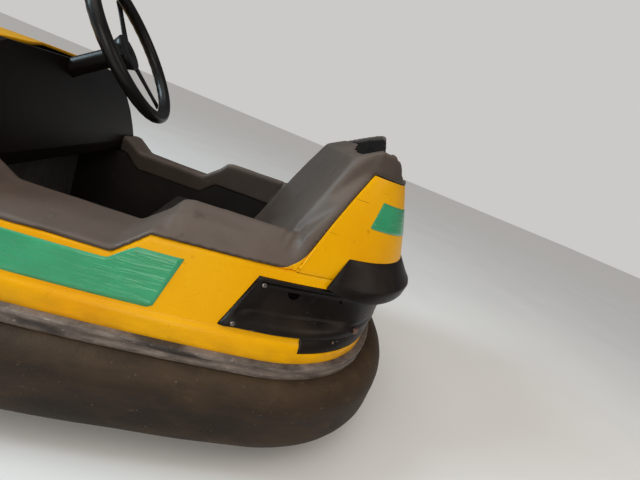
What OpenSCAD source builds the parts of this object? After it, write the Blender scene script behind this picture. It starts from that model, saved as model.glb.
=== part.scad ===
// Two-seat bumper car: a rubber ring round a steel frame, a moulded shell with a
// high tail, padded arms and backrest, and a front drive unit that turns full circle.
// X points forward, Y to the left and Z up. The origin is on the floor, under the
// centre of the rubber ring.

/* [Rubber ring] */
// Half of the width over the rubber ring
bumper_half_w = 600; // [560:5:640]
// Half of the length over the rubber ring
bumper_half_l = 962; // [920:2:1010]
// Thickness of the ring, from outside to inside
bumper_deep = 130; // [110:2:150]
// Height of the ring's underside above the floor
bumper_bottom = 45; // [35:1:60]
// Height of the ring's top above the floor
bumper_top = 222; // [205:1:235]
// Rounding of the ring's section
bumper_round = 62; // [40:1:64]

/* [Plan curves] */
// Radius of the long side curve of the ring
side_r = 5000; // [4000:100:7000]
// Radius of the ring's corners
corner_r = 420; // [360:10:440]
// Radius of the ring's ends
end_r = 750; // [700:10:850]
// Centre of the fan of sections round each end, from the middle
fan_x = 540; // [520:5:560]

/* [Rail] */
// How far the grey rail's face lies inside the rubber's outer face
rail_inset = 45; // [35:1:55]
// How much more the rail lies inside at the two ends
rail_end_inset = 29; // [10:1:40]
// Height of the rail's face
rail_h = 30; // [24:1:36]
// Width of the rail's top plate
rail_w = 84; // [78:1:90]
// Thickness of the rail's plates
rail_t = 7; // [5:1:9]
// Depth of the groove between the rail's two strips
rail_groove = 3; // [1:0.5:4]

/* [Shell] */
// How far the shell's bottom edge lies inside the rail's face
shell_inset = 18; // [12:1:24]
// Thickness of the moulded shell
shell_t = 8; // [5:0.5:12]
// Height of the shell's waist, where the arm pads sit
waist_z = 430; // [410:1:450]
// Half width of the waist at mid length
waist_half_w = 490; // [470:1:510]
// Half length of the waist
waist_half_l = 918; // [900:1:930]
// Radius of the waist's side curve
waist_side_r = 2100; // [1900:50:2600]
// Radius of the waist's corners
waist_corner_r = 380; // [340:5:400]
// Radius of the waist's ends
waist_end_r = 700; // [660:10:760]
// Height of the flat band along the shell's bottom edge
band_h = 38; // [30:1:46]
// Step from the flat band to the side above it
band_step = 5; // [3:0.5:8]

/* [Tail] */
// Height of the tail's yellow top edge
crown_z = 686; // [670:1:700]
// Half width of the tail's top, along its front edge
crown_half_w = 300; // [280:1:320]
// Distance of the tail's top front edge behind the middle
crown_front = 655; // [640:1:670]
// Distance of the tail's top rear edge behind the middle
crown_rear = 824; // [800:1:850]
// Fullness of the tail's top corners
crown_full = 1.75; // [1.6:0.05:2.4]
// How full the tail bulges between waist and top
tail_bulge = 0.05; // [0:0.01:0.1]
// Height of the dark cap on the tail, at its front edge
cap_h = 60; // [50:1:70]
// Rise of the cap's top towards the rear, as rise per run
cap_slope = 0.6; // [0.4:0.02:0.7]
// Thickness of the dark cap's wall
cap_t = 14; // [10:1:18]

/* [Lamp recess and lip] */
// Front end of the lamp recess at its bottom edge, behind the middle
recess_front = 421; // [400:1:450]
// How much further back the recess starts at its top edge
recess_rake = 43; // [20:1:60]
// Height of the recess's top edge
recess_top = 407; // [395:1:412]
// Height of the recess's bottom edge at its front end
recess_sill = 309; // [300:1:316]
// Turn round the tail at which the recess's frame steps down, in degrees
recess_step = 7; // [5:0.5:9]
// Height of the recess's bottom edge behind the step
recess_low = 270; // [262:1:280]
// Depth of the recess
recess_deep = 26; // [18:1:32]
// Width of the frame round the recess
recess_frame = 17; // [12:1:22]
// Radius of the cable hole in the recess
cable_hole_r = 15; // [10:1:18]
// Radius of the lamp's screw holes
lamp_screw_r = 2.5; // [2:0.25:4]
// Distance along the car between the lamp's two screw holes
lamp_screw_x = 90; // [80:1:110]
// Height of the lip's top edge
lip_top = 484; // [476:1:492]
// Height of the lip's widest edge
lip_mid = 428; // [420:1:436]
// Thickness of the lip's widest edge
lip_edge = 34; // [26:1:40]
// How far the lip stands out of the shell
lip_out = 36; // [28:1:42]
// Turn round the tail at which the lip starts, in degrees
lip_start = 11; // [9:0.5:13]

/* [Nose] */
// Height of the nose's top
nose_top = 668; // [650:1:690]
// Distance of the nose's rear wall ahead of the middle, at the waist
nose_back = 150; // [140:1:165]
// How far the rear wall leans forward up to the top
nose_lean = 50; // [40:1:60]
// Thickness of the dashboard
dash_t = 14; // [10:1:18]

/* [Lamps] */
// Outer radius of a head lamp's bezel
lamp_r = 62; // [55:1:66]
// Distance of a head lamp's axis from the middle
lamp_y = 235; // [220:1:250]
// Height of a head lamp's axis
lamp_z = 352; // [345:1:360]
// Distance of a head lamp's front rim ahead of the middle
lamp_x = 879; // [874:1:884]
// Length of a head lamp's body
lamp_len = 70; // [60:1:80]

/* [Pads] */
// Height of the arm pad's crest above the waist
arm_h = 70; // [60:1:80]
// Distance of the arm pad's crest from the middle
arm_crest_y = 355; // [345:1:365]
// Height of the arm pad's outer edge
arm_edge = 9; // [6:1:14]
// How far the arm pad's inner skirt reaches down
arm_skirt = 42; // [36:1:48]
// Height of the shell's edge at the low rim beside the cockpit
rim_z = 382; // [374:1:392]
// Height of the low rim's pad above the shell's edge, at its inner side
rim_crest = 30; // [24:1:34]
// Rear end of the low rim, behind the middle
rim_rear = 187; // [175:1:200]
// How far behind the shell's ramp the pad's crest starts to fall
crest_lead = 22; // [16:1:30]
// Front end of the low rim, ahead of the middle
rim_front = 60; // [50:1:70]
// Length of the ramp between the high pad and the low rim
ramp_len = 53; // [45:1:60]
// Distance of the backrest's face behind the middle, at the arm's height
back_face = 505; // [495:1:512]
// Lean of the backrest's face, as run per rise
back_lean = 0.42; // [0.36:0.01:0.46]
// Height of the backrest's lower edge
back_bottom = 304; // [300:1:312]

/* [Cockpit] */
// Height of the cockpit's floor
floor_z = 151; // [146:1:156]
// Thickness of the floor plate
floor_t = 6; // [4:0.5:8]
// Half width between the cockpit's side linings
liner_half_w = 346; // [340:1:350]
// Thickness of the side linings
liner_t = 6; // [4:0.5:8]
// Rear end of the floor, behind the middle
floor_rear = 410; // [400:1:420]
// Distance of the bulkhead ahead of the middle
bulkhead_x = 270; // [262:1:276]
// Height of the seat's box
seat_box_h = 102; // [90:1:112]
// Front edge of the seat, behind the middle
seat_front = 120; // [100:1:140]
// Thickness of the seat's cushion
cushion_h = 48; // [40:1:50]

/* [Frame] */
// Thickness of the steel ring behind the rubber
ring_t = 6; // [5:0.5:8]
// Height of the steel ring's lower edge
ring_bottom = 72; // [65:1:80]
// Distance of the long members from the middle
member_y = 250; // [240:1:258]
// Width of the frame's members
member_w = 40; // [34:1:44]
// Height of the frame's members
member_h = 27; // [22:1:30]
// Height of the head plate's underside
head_z = 226; // [224:1:230]
// Thickness of the head plate
head_t = 10; // [8:1:12]

/* [Wheels] */
// Radius of the three wheels
wheel_r = 100; // [95:1:104]
// Thickness of the tyres
tyre_t = 24; // [18:1:28]
// Width of the rear tyres
rear_tyre_w = 50; // [44:1:56]
// Distance of the rear axle behind the middle
axle_back = 540; // [530:1:550]
// Distance of a rear wheel from the middle
rear_wheel_y = 305; // [300:1:310]
// Radius of the rear axle
axle_r = 12; // [10:1:14]
// Width of the drive wheel's tyre
drive_tyre_w = 60; // [52:1:64]
// Distance of the drive unit's axis ahead of the middle
drive_x = 500; // [495:1:510]

/* [Drive unit] */
// Radius of the spindle in its bearing
spindle_r = 30; // [26:1:34]
// Radius of the fork's top plate
fork_plate_r = 118; // [110:1:124]
// Thickness of the fork's plates
fork_t = 9; // [7:1:11]
// Radius of the motor
motor_r = 72; // [66:1:76]
// Length of the motor
motor_len = 112; // [100:1:120]

/* [Steering] */
// Radius of the steering wheel, to the middle of its rim
rim_r = 178; // [168:1:186]
// Thickness of the steering wheel's rim
rim_d = 35; // [30:1:38]
// Distance of the steering wheel's centre ahead of the middle
steer_x = 40; // [30:1:50]
// Height of the steering wheel's centre
steer_z = 738; // [730:1:748]
// Slope of the steering column above the level
column_tilt = 36; // [34:1:38]
// Outer radius of the column's tube
column_r = 24; // [20:1:27]
// Radius of the steering shaft
shaft_r = 12; // [10:1:14]

/* [Fits] */
// Clearance between a moving shaft and what carries it
run_gap = 0.3; // [0.2:0.05:0.5]

/* [Hidden] */
$fn = 64;

// points in a quarter of a plan loop: along the side, and fanned round the end
side_n = 6;
fan_n = 11;
quarter_n = side_n + fan_n;
loop_n = 4 * quarter_n;

shell_z = bumper_top + rail_h - 2;
rail_half_w = bumper_half_w - rail_inset;
rail_half_l = bumper_half_l - rail_inset - rail_end_inset;
frame_inset = bumper_deep + run_gap;
rim_ramp_rear = rim_rear + ramp_len;
rim_ramp_front = rim_front + ramp_len;
yellow = "#f5b400";
dark = "#4f4a48";
black = "#1c1816";
steel = "#6c6a68";

function lerp(a, b, t) = a + (b - a) * t;
function turn(a) = [cos(a), sin(a)];

// A plan curve of eight tangent arcs: [side centre y, corner centre x, corner centre y,
// end centre x, half angle of the side arc, half angle of the end arc]
function plan(hw, hl, rs, rc, re) =
    let (a = rs - rc, b = re - rc, sy = hw - rs, ex = re - hl,
         d = norm([ex, sy]), k = (a * a - b * b + d * d) / (2 * d), h = sqrt(a * a - k * k),
         ux = ex / d, uy = -sy / d,
         cx = k * ux - h * uy, cy = sy + k * uy + h * ux)
    [sy, cx, cy, ex, asin(-cx / a), asin(cy / b)];

function circle_hit(o, d, c, r) =
    let (t = d * (c - o)) o + d * (t + sqrt(r * r - (c - o) * (c - o) + t * t));

// Where a line from o along d meets the quarter of the plan curve behind the middle
function plan_hit(p, v, o, d) =
    let (side = circle_hit(o, d, [0, p[0]], v[2]), corner = circle_hit(o, d, [p[1], p[2]], v[3]))
    side[0] >= -v[2] * sin(p[4]) ? side
    : corner[1] >= v[4] * sin(p[5]) ? corner : circle_hit(o, d, [p[3], 0], v[4]);

// One point of the quarter from the middle of the left side to the rear end: straight
// across the car as far as the fan's centre, then fanned round the end
function quarter_point(v, i) =
    let (p = plan(v[0], v[1], v[2], v[3], v[4]), x = -fan_x * min(i / side_n, 1),
         a = 90 + 90 * max(i - side_n, 0) / fan_n)
    plan_hit(p, v, [x, 0], turn(a));

// The whole loop, anticlockwise from the middle of the left side
function loop_point(v, i) =
    let (k = (i + loop_n) % loop_n, q = floor(k / quarter_n), j = k % quarter_n,
         m = q % 2 == 0 ? j : quarter_n - j,
         p = quarter_point(v, m))
    [q == 1 || q == 0 ? p[0] : -p[0], q == 0 || q == 3 ? p[1] : -p[1]];

// The plan curve moved inwards by a distance
function plan_loop(v, inset) = [for (i = [0:loop_n - 1]) loop_point(
    [v[0] - inset, v[1] - inset, v[2] - inset, v[3] - inset, v[4] - inset], i)];

shell_edge = [rail_half_w - shell_inset, rail_half_l - shell_inset, side_r,
    corner_r - rail_inset - shell_inset, end_r - rail_inset - shell_inset];
waist = [waist_half_w, waist_half_l, waist_side_r, waist_corner_r, waist_end_r];

edge_loop = [for (i = [0:loop_n - 1]) loop_point(shell_edge, i)];
waist_loop = [for (i = [0:loop_n - 1]) loop_point(waist, i)];

// The top edge of the tail: a full corner between its front edge and its rear edge
crown_n = 2 * (quarter_n - side_n);
function crown_point(k) =
    let (t = 180 * k / crown_n, e = 2 / crown_full, c = cos(t), s = sin(t))
    [-crown_front - (crown_rear - crown_front) * pow(s, e),
     crown_half_w * sign(c) * pow(abs(c), e)];

// The outside of the shell at loop point i and height z, below the waist
function side_skin(i, z) =
    lerp(edge_loop[(i + loop_n) % loop_n], waist_loop[(i + loop_n) % loop_n],
        (z - shell_z) / (waist_z - shell_z));

// The tail's outside bulges between the waist and the top; its walls run straight from
// one of these levels to the next
tail_levels = [for (g = [0, 0.3, 0.65, 1]) lerp(waist_z, crown_z, g)];
function tail_point(k, z) =
    let (g = (z - waist_z) / (crown_z - waist_z))
    lerp(waist_loop[side_n + k], crown_point(k), g - tail_bulge * sin(180 * g));

// The outside of the tail at its point k and height z, above the waist
function tail_skin(k, z) =
    let (i = z < tail_levels[1] ? 0 : z < tail_levels[2] ? 1 : 2, a = tail_levels[i],
         b = tail_levels[i + 1])
    lerp(tail_point(k, a), tail_point(k, b), (z - a) / (b - a));

// The outside of the rear body at any height
function rear_skin(k, z) =
    z <= waist_z || k < 0 || k > crown_n ? side_skin(side_n + k, z) : tail_skin(k, z);

function right_of(d) = [d[1], -d[0]] / norm(d);

// A loop moved inwards by a distance; the loop runs anticlockwise seen from above
function inset_loop(p, t) =
    let (n = len(p))
    [for (i = [0:n - 1])
        let (a = right_of(p[i] - p[(i + n - 1) % n]), b = right_of(p[(i + 1) % n] - p[i]),
             m = (a + b) / norm(a + b), s = min(1 / (a * m), 1.6))
        p[i] - m * t * s];

function raise(p, z) = [for (q = p) [q[0], q[1], z]];

// Faces between rings of equal count, each ring joined to the next
function ring_faces(rows, n, closed) =
    [for (r = [0:rows - (closed ? 1 : 2)]) for (i = [0:n - 1])
        let (a = r * n + i, b = r * n + (i + 1) % n,
             c = ((r + 1) % rows) * n + (i + 1) % n, d = ((r + 1) % rows) * n + i)
        each [[a, d, c], [a, c, b]]];

// A solid between rings: ends are closed flat
module stack(rings) {
    n = len(rings[0]);
    m = len(rings);
    polyhedron(points = [for (r = rings) each r],
        faces = concat(ring_faces(m, n, false), [[for (i = [0:n - 1]) i]],
            [[for (i = [0:n - 1]) m * n - 1 - i]]), convexity = 8);
}

// A hollow wall: the last ring joins the first again
module sleeve(rings) {
    n = len(rings[0]);
    polyhedron(points = [for (r = rings) each r],
        faces = ring_faces(len(rings), n, true), convexity = 8);
}

// A ring of plain upright walls between two plan curves
module plan_ring(v, out, t, z, h) {
    translate([0, 0, z]) linear_extrude(h) difference() {
        polygon(plan_loop(v, out));
        polygon(plan_loop(v, out + t));
    }
}

module both_sides() {
    children();
    mirror([0, 1, 0]) children();
}

bumper_plan = [bumper_half_w, bumper_half_l, side_r, corner_r, end_r];
rail_plan = [rail_half_w, rail_half_l, side_r, corner_r - rail_inset, end_r - rail_inset];

// The rubber ring's section: corners go round from the outer side's foot, up, inwards
// and down; each point is [distance inwards, height]
function rubber_section(w, h, r, steps) =
    [for (c = [[r, r, 270], [r, h - r, 180], [w - r, h - r, 90], [w - r, r, 0]])
        for (j = [0:steps]) [c[0], c[1]] + r * turn(c[2] - 90 * j / steps)];

module bumper_tube() {
    section = rubber_section(bumper_deep, bumper_top - bumper_bottom, bumper_round, 5);
    color("#33291f") sleeve([for (p = section)
        raise(plan_loop(bumper_plan, p[0]), bumper_bottom + p[1])]);
}

// The rail: a top plate, and a face with two raised strips that stands on the rubber
module bumper_rail() {
    foot = bumper_top + run_gap;
    face = shell_z - foot;
    strip = face / 2 - rail_groove;
    color("#6b6467") {
        plan_ring(rail_plan, rail_groove, rail_w - rail_groove, shell_z - rail_t, rail_t);
        plan_ring(rail_plan, rail_groove, rail_t, foot, face);
        for (z = [foot, shell_z - strip])
            plan_ring(rail_plan, 0, rail_groove + 1, z, strip);
    }
}

// The steel ring stands inside the rubber and carries the rail
module steel_ring() {
    top = shell_z - rail_t - run_gap;
    color(steel) plan_ring(bumper_plan, frame_inset, ring_t, ring_bottom, top - ring_bottom);
}

module frame_inside(h) {
    linear_extrude(h) polygon(plan_loop(bumper_plan, frame_inset + ring_t + run_gap));
}

member_top = floor_z - floor_t;
cross_x = bulkhead_x + 15;

module chassis_frame() {
    color(steel) difference() {
        union() {
            intersection() {
                frame_inside(400);
                frame_members();
            }
            both_sides()
                translate([-axle_back, member_y - member_w / 2, 0])
                    axle_bracket();
        }
        translate([drive_x, 0, head_z - 1]) cylinder(r = bearing_r, h = head_t + 2);
        translate([-axle_back, 0, wheel_r])
            rotate([90, 0, 0]) cylinder(r = axle_r, h = 2 * bumper_half_w, center = true);
    }
}

// The members inside the ring, before they are cut to its shape
module frame_members() {
    low = member_top - member_h;
    both_sides()
        translate([-bumper_half_l, member_y - member_w / 2, low])
            cube([bumper_half_l + cross_x, member_w, member_h]);
    for (x = [-floor_rear, -member_w])
        translate([x, -bumper_half_w, low]) cube([member_w, 2 * bumper_half_w, member_h]);
    translate([cross_x, -bumper_half_w, low])
        cube([ring_t, 2 * bumper_half_w, head_z + head_t - low]);
    translate([cross_x, -fork_plate_r, head_z]) cube([bumper_half_l, 2 * fork_plate_r, head_t]);
}

// A plate that hangs from a long member and holds the rear axle
module axle_bracket() {
    translate([0, ring_t, 0]) rotate([90, 0, 0]) linear_extrude(ring_t)
        polygon([[-2.5 * axle_r, wheel_r - 2 * axle_r], [2.5 * axle_r, wheel_r - 2 * axle_r],
            [5 * axle_r, member_top - member_h], [-5 * axle_r, member_top - member_h]]);
}

axle_half = rear_wheel_y + rear_tyre_w / 2 + 8;

module rear_axle() {
    color(steel) translate([-axle_back, 0, wheel_r]) rotate([90, 0, 0]) {
        cylinder(r = axle_r, h = 2 * axle_half, center = true);
        for (s = [-1, 1])
            translate([0, 0, s * (rear_wheel_y + rear_tyre_w / 2 + 5)])
                cylinder(r = axle_r + 5, h = 6, center = true);
    }
}

bearing_r = spindle_r + 22;
bearing_flange = 8;

module head_bearing() {
    color(steel) translate([drive_x, 0, 0]) difference() {
        union() {
            translate([0, 0, head_z - bearing_flange])
                cylinder(r = bearing_r + 16, h = bearing_flange);
            translate([0, 0, head_z]) cylinder(r = bearing_r, h = head_t + 20);
        }
        translate([0, 0, head_z - bearing_flange - 1])
            cylinder(r = spindle_r + run_gap, h = bearing_flange + head_t + 22);
    }
}

// The cut that the lamp recess makes through the shell: a slanted front end, then a
// deeper part round the tail
module recess_cut() {
    sill = recess_sill;
    far = 2 * bumper_half_l;
    rotate([90, 0, 0]) linear_extrude(3 * bumper_half_w, center = true)
        polygon([[-recess_front, sill], [-recess_front - recess_rake, recess_top],
            [-far, recess_top], [-far, sill]]);
    translate([-fan_x, 0, recess_low]) linear_extrude(sill - recess_low + 1)
        polygon([[0, 0], far * turn(90 + recess_step), [-far, far], [-far, -far],
            far * turn(-90 - recess_step)]);
}

// The dip of the shell's top edge beside the cockpit
module cockpit_dip() {
    rotate([90, 0, 0]) linear_extrude(3 * bumper_half_w, center = true)
        polygon([[-rim_ramp_rear, waist_z], [-rim_rear, rim_z], [rim_front, rim_z],
            [rim_ramp_front, waist_z], [rim_ramp_front, waist_z + 9], [-rim_ramp_rear, waist_z + 9]]);
}

function skin_ring(z, t) = raise(inset_loop([for (i = [0:loop_n - 1]) side_skin(i, z)], t), z);

module lower_shell() {
    band_z = shell_z + band_h;
    color(yellow) difference() {
        sleeve([skin_ring(shell_z, 0), skin_ring(band_z - 1, 0), skin_ring(band_z + 3, band_step),
            skin_ring(lerp(band_z, waist_z, 0.6), band_step * 0.4), skin_ring(waist_z, 0),
            skin_ring(waist_z, shell_t), skin_ring(band_z + 3, shell_t + band_step),
            skin_ring(band_z - 1, shell_t), skin_ring(shell_z, shell_t)]);
        recess_cut();
        cockpit_dip();
        for (s = [-1, 1]) lamp_axis(s) cylinder(r = lamp_r - 6, h = 3 * lamp_len, center = true);
    }
}

function tail_ring(z, t) = raise(inset_loop([for (k = [0:crown_n]) tail_skin(k, z)], t), z);

module tail_shell() {
    color(yellow) sleeve(concat([for (z = tail_levels) tail_ring(z, 0)],
        [for (j = [3:-1:0]) tail_ring(tail_levels[j], shell_t)]));
}

// The dark cap's upper edge, torn away over the rear: fraction of the height left at
// even steps from the left front corner round the rear to the right front corner
torn = [1, 0.87, 0.73, 0.58, 0.4, 0.16, 0.09, 0.06, 0.08, 0.05, 0.07, 0.06, 0.05, 0.07, 0.09,
    0.24, 0.86, 1, 1, 1, 1, 1, 1];

// The cap's height above the tail, whole and as it is torn, at point k of its edge
function cap_whole(k) = cap_h + cap_slope * (-crown_point(k)[0] - crown_front);
function torn_at(k) = let (u = k / crown_n * (len(torn) - 1), i = min(floor(u), len(torn) - 2))
    lerp(torn[i], torn[i + 1], u - i);
function cap_height(k) = cap_whole(k) * torn_at(k);

// The cap's outline, t inside the tail's top edge; it leans in with its height h
cap_lean = 0.0007;
function cap_point(k, t, h) =
    let (mid = (crown_front + crown_rear) / 2, half = (crown_rear - crown_front) / 2,
         lean = 1 - cap_lean * h, p = crown_point(k))
    [-mid + (p[0] + mid) * lean * (1 - t / half), p[1] * lean * (1 - t / crown_half_w)];

function torn_ring(t) = [for (k = [0:crown_n]) let (h = cap_height(k), p = cap_point(k, t, h))
    [p[0], p[1], crown_z + h]];

module backrest_cap() {
    foot = [for (t = [0, cap_t]) raise([for (k = [0:crown_n]) cap_point(k, t, 0)], crown_z)];
    color(dark) sleeve([foot[0], torn_ring(0), torn_ring(cap_t), foot[1]]);
}

// How far the backrest face rounds off at its sides, and how fast its sides run back
back_round = 14;
joint_slope = 0.38;

// The backrest pad in front of the tail: [height, half width of the face]
back_levels = [[back_bottom, 306], [waist_z - 2, 336], [waist_z + 1, 337],
    [tail_levels[1], 346], [tail_levels[2], 323], [crown_z, 300]];

function back_x(z) = -back_face - back_lean * (z - waist_z - arm_h);

// The front corner of the tail and cap at a height, where the backrest pad ends
function tail_corner(z) = z <= waist_z ? waist_loop[side_n]
    : z <= crown_z ? tail_skin(0, z) : cap_point(0, 0, z - crown_z);

// The slanted plane, behind each arm, on which the backrest pad and the arm pad meet
function joint_x(y, z) = back_x(z) - back_round - joint_slope * (y - liner_half_w);

// One level of the backrest pad: its height, half width of the face and place of the face
function back_ring(z, w, x) = let (c = tail_corner(z), arm = z <= tail_levels[1],
         e = z < waist_z ? min(w + 24, liner_half_w - run_gap) : c[1],
         a = arm ? joint_x(w + 2, z) : x - back_round,
         b = arm ? joint_x(e, z) : lerp(x, c[0], 0.75))
    [[x, w - 24, z], [x - 3, w - 8, z], [a, w + 2, z], [b, e, z],
     [c[0] + run_gap, e, z], [c[0] + run_gap, -e, z], [b, -e, z],
     [a, -w - 2, z], [x - 3, 8 - w, z], [x, 24 - w, z]];

// The pad's top slants up from the face's top edge to the cap, on the cap's slope
back_top_half_w = 282;
function slope_z(x) = crown_z + cap_h - cap_slope * (x + crown_front);
back_edge_z = slope_z(back_x(0)) / (1 - cap_slope * back_lean);
back_top = [for (p = back_ring(crown_z + cap_h, back_top_half_w, back_x(back_edge_z)))
    [p[0], p[1], slope_z(p[0])]];

module backrest_pad() {
    color(dark)
        stack(concat([for (l = back_levels) back_ring(l[0], l[1], back_x(l[0]))], [back_top]));
}

// The arm pad's stations: [place along the car, bottom height, outer edge height, crest height]
arm_stations = [
    [-fan_x + 16, waist_z, arm_edge, arm_h + 3],
    [-back_face + 60, waist_z, arm_edge, arm_h - 1],
    [-rim_ramp_rear - 2 * crest_lead, waist_z, arm_edge, arm_h - 6],
    [-rim_ramp_rear - crest_lead, waist_z, arm_edge, arm_h - 12],
    [-rim_ramp_rear, waist_z, arm_edge, 0.4 * arm_h],
    [-rim_rear, rim_z, arm_edge, rim_crest],
    [rim_front, rim_z, arm_edge, rim_crest],
    [rim_ramp_front, waist_z, arm_edge, arm_edge + 10],
    [nose_back - dash_t - 1, waist_z, arm_edge, arm_edge + 10]];

// The shell's outer face at a place along the car, between bottom edge and waist
function side_y(x, z) =
    let (a = shell_edge[0] - side_r + sqrt(side_r * side_r - x * x),
         b = waist_half_w - waist_side_r + sqrt(waist_side_r * waist_side_r - x * x))
    lerp(a, b, (z - shell_z) / (waist_z - shell_z));

function arm_ring(s) =
    let (x = s[0], b = s[1] + run_gap, y = side_y(x, s[1]), e = b + s[2], c = s[1] + s[3],
         i = arm_crest_y, under = s[1] - arm_skirt)
    [[x, y, b], [x, y + 1, e - 3], [x, y - 4, e + 1], [x, lerp(y, i, 0.5), lerp(e, c, 0.6)],
     [x, i + 14, c - 3], [x, i + 2, c], [x, i - 7, c - 6], [x, i - 9, c - 18],
     [x, i - 9, under], [x, i + 1, under], [x, i + 9, b]];

// The pad's rear end lies on the slanted plane that it shares with the backrest pad
arm_end = [for (p = arm_ring(arm_stations[0])) [joint_x(p[1], p[2]) + run_gap, p[1], p[2]]];

module arm_pad() {
    rest = [for (i = [1:len(arm_stations) - 1]) arm_ring(arm_stations[i])];
    color(dark) stack(concat([arm_end], rest));
}

module arm_pad_left() { arm_pad(); }
module arm_pad_right() { mirror([0, 1, 0]) arm_pad(); }

module liner() {
    drop = arm_skirt + run_gap;
    color("#2b2522")
        translate([0, liner_half_w + liner_t, 0]) rotate([90, 0, 0]) linear_extrude(liner_t)
            polygon([[-back_face, back_bottom], [-floor_rear, floor_z], [bulkhead_x, floor_z],
                [bulkhead_x, waist_z], [nose_back, waist_z - drop],
                [rim_ramp_front, waist_z - drop], [rim_front, rim_z - drop],
                [-rim_rear, rim_z - drop], [-rim_ramp_rear, waist_z - drop],
                [-back_face, waist_z - drop]]);
}

module liner_left() { liner(); }
module liner_right() { mirror([0, 1, 0]) liner(); }

// The floor plate with its raised ribs, and the bulkhead in front of the feet
rib_pitch = 55;
rib_w = 12;
rib_h = 2;
rib_margin = 30;

module floor_pan() {
    w = liner_half_w + liner_t;
    color("#8b8781") {
        translate([-floor_rear, -w, floor_z - floor_t])
            cube([floor_rear + bulkhead_x + floor_t, 2 * w, floor_t]);
        translate([bulkhead_x, -w, floor_z]) cube([floor_t, 2 * w, waist_z - floor_z - 10]);
        for (y = [-5:5])
            translate([-seat_front + rib_margin, y * rib_pitch - rib_w / 2, floor_z])
                cube([bulkhead_x + seat_front - 2 * rib_margin, rib_w, rib_h]);
    }
}

// The seat's box, open to the floor
module seat_box() {
    deep = floor_rear - seat_front;
    w = 2 * liner_half_w - 2;
    color("#2b2522") difference() {
        translate([-floor_rear, -w / 2, floor_z]) cube([deep, w, seat_box_h]);
        translate([-floor_rear + shell_t, shell_t - w / 2, floor_z - 1])
            cube([deep - 2 * shell_t, w - 2 * shell_t, seat_box_h - shell_t + 1]);
    }
}

module seat_cushion() {
    z = floor_z + seat_box_h;
    x0 = -floor_rear;
    x1 = -seat_front + 12;
    w = liner_half_w - 4;
    color("#37312e")
        rotate([90, 0, 0]) linear_extrude(2 * w, center = true)
            polygon([[x0, z], [x1 - 8, z], [x1, z + 10], [x1, z + cushion_h - 18],
                [x1 - 6, z + cushion_h - 6], [x1 - 20, z + cushion_h],
                [x0 + 90, z + cushion_h - 6], [x0, z + cushion_h - 4]]);
}

// The nose's rows: [fraction of the height, length left, width left]
nose_rows = [[0, 1, 1], [0.22, 0.96, 0.965], [0.45, 0.88, 0.91], [0.68, 0.73, 0.82],
    [0.86, 0.52, 0.70], [0.96, 0.32, 0.56]];
function nose_z(r) = lerp(waist_z, nose_top, r[0]);

function nose_half_w(r) = side_y(nose_back, waist_z) * r[2];

function nose_base(r) = concat(
    [[nose_back + nose_lean * r[0], -nose_half_w(r)]],
    [for (i = [2 * quarter_n:4 * quarter_n - 1]) let (p = waist_loop[i])
        if (p[0] > nose_back + 20)
            [nose_back + nose_lean * r[0] + (p[0] - nose_back) * r[1], p[1] * r[2]]],
    [[nose_back + nose_lean * r[0], nose_half_w(r)]]);

module nose_shell() {
    outer = [for (r = nose_rows) raise(nose_base(r), nose_z(r))];
    inner = [for (r = nose_rows)
        raise(inset_loop(nose_base(r), shell_t), nose_z(r) - (r[0] > 0.9 ? shell_t : 0))];
    n = len(outer[0]);
    m = len(outer);
    tip = [nose_back + nose_lean + 130, 0, nose_top + 4];
    last = (2 * m - 1) * n;
    color(yellow) difference() {
        // the inner face runs down, the outer face runs up, and both are closed at the top
        polyhedron(
            points = concat([for (j = [m - 1:-1:0]) each inner[j]], [for (r = outer) each r],
                [tip - [0, 0, shell_t], tip]),
            faces = concat(ring_faces(2 * m, n, false),
                [for (i = [0:n - 1]) [2 * m * n, i, (i + 1) % n]],
                [for (i = [0:n - 1]) [2 * m * n + 1, last + (i + 1) % n, last + i]]),
            convexity = 8);
        column_axis() cylinder(r = column_r + 6, h = column_bore, center = true);
    }
}

module dashboard() {
    rows = [for (r = nose_rows) [nose_back + nose_lean * r[0], nose_half_w(r) - 14, nose_z(r)]];
    rings = [for (r = concat([[nose_back, arm_crest_y - 12, waist_z - 30]], rows))
        [[r[0] - run_gap, -r[1], r[2]], [r[0] - run_gap, r[1], r[2]],
         [r[0] - run_gap - dash_t, r[1] - 6, r[2]], [r[0] - run_gap - dash_t, 6 - r[1], r[2]]]];
    color(black) difference() {
        stack(rings);
        column_axis() cylinder(r = column_r + run_gap, h = column_bore, center = true);
    }
}

// The rear body's wall sunk by d along the fan, at tail place u and height z; whole values
// of u are the tail's points, and it may lie between two of them
function rear_point(u, z) = let (k = floor(u))
    lerp(rear_skin(k, z), rear_skin(min(k + 1, crown_n + 4), z), u - k);

function sunk(u, z, d) =
    let (a = 90 + 90 * min(max(u, 0), crown_n) / fan_n, q = rear_point(u, z) - turn(a) * d)
    [q[0], q[1], z];

// Tail place where the recess's bottom edge steps down
step_u = recess_step * fan_n / 90;
lip_u = lip_start * fan_n / 90;

// Tail place of the recess's slanted front edge at a height
function front_u(z) =
    let (x = recess_front + recess_rake * (z - recess_sill) / (recess_top - recess_sill))
    (x - fan_x) * side_n / fan_x;

// The channel's section: [distance inwards, height], open to the outside. It stands at
// tail place u, or each of its points at a place of its own
function channel_section(u, low, places = []) =
    let (f = recess_frame, d = recess_deep, t = shell_t / 2, z1 = recess_top,
         section = [[2 * t, low], [d + t, low + f], [d + t, z1 - f], [2 * t, z1], [0, z1],
             [0.5, z1 - f + 4], [d, z1 - f - 8], [d, low + f + 12], [0, low + f], [0, low]])
    [for (i = [0:len(section) - 1])
        sunk(len(places) > 0 ? places[i] : u, section[i][1], section[i][0])];

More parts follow.
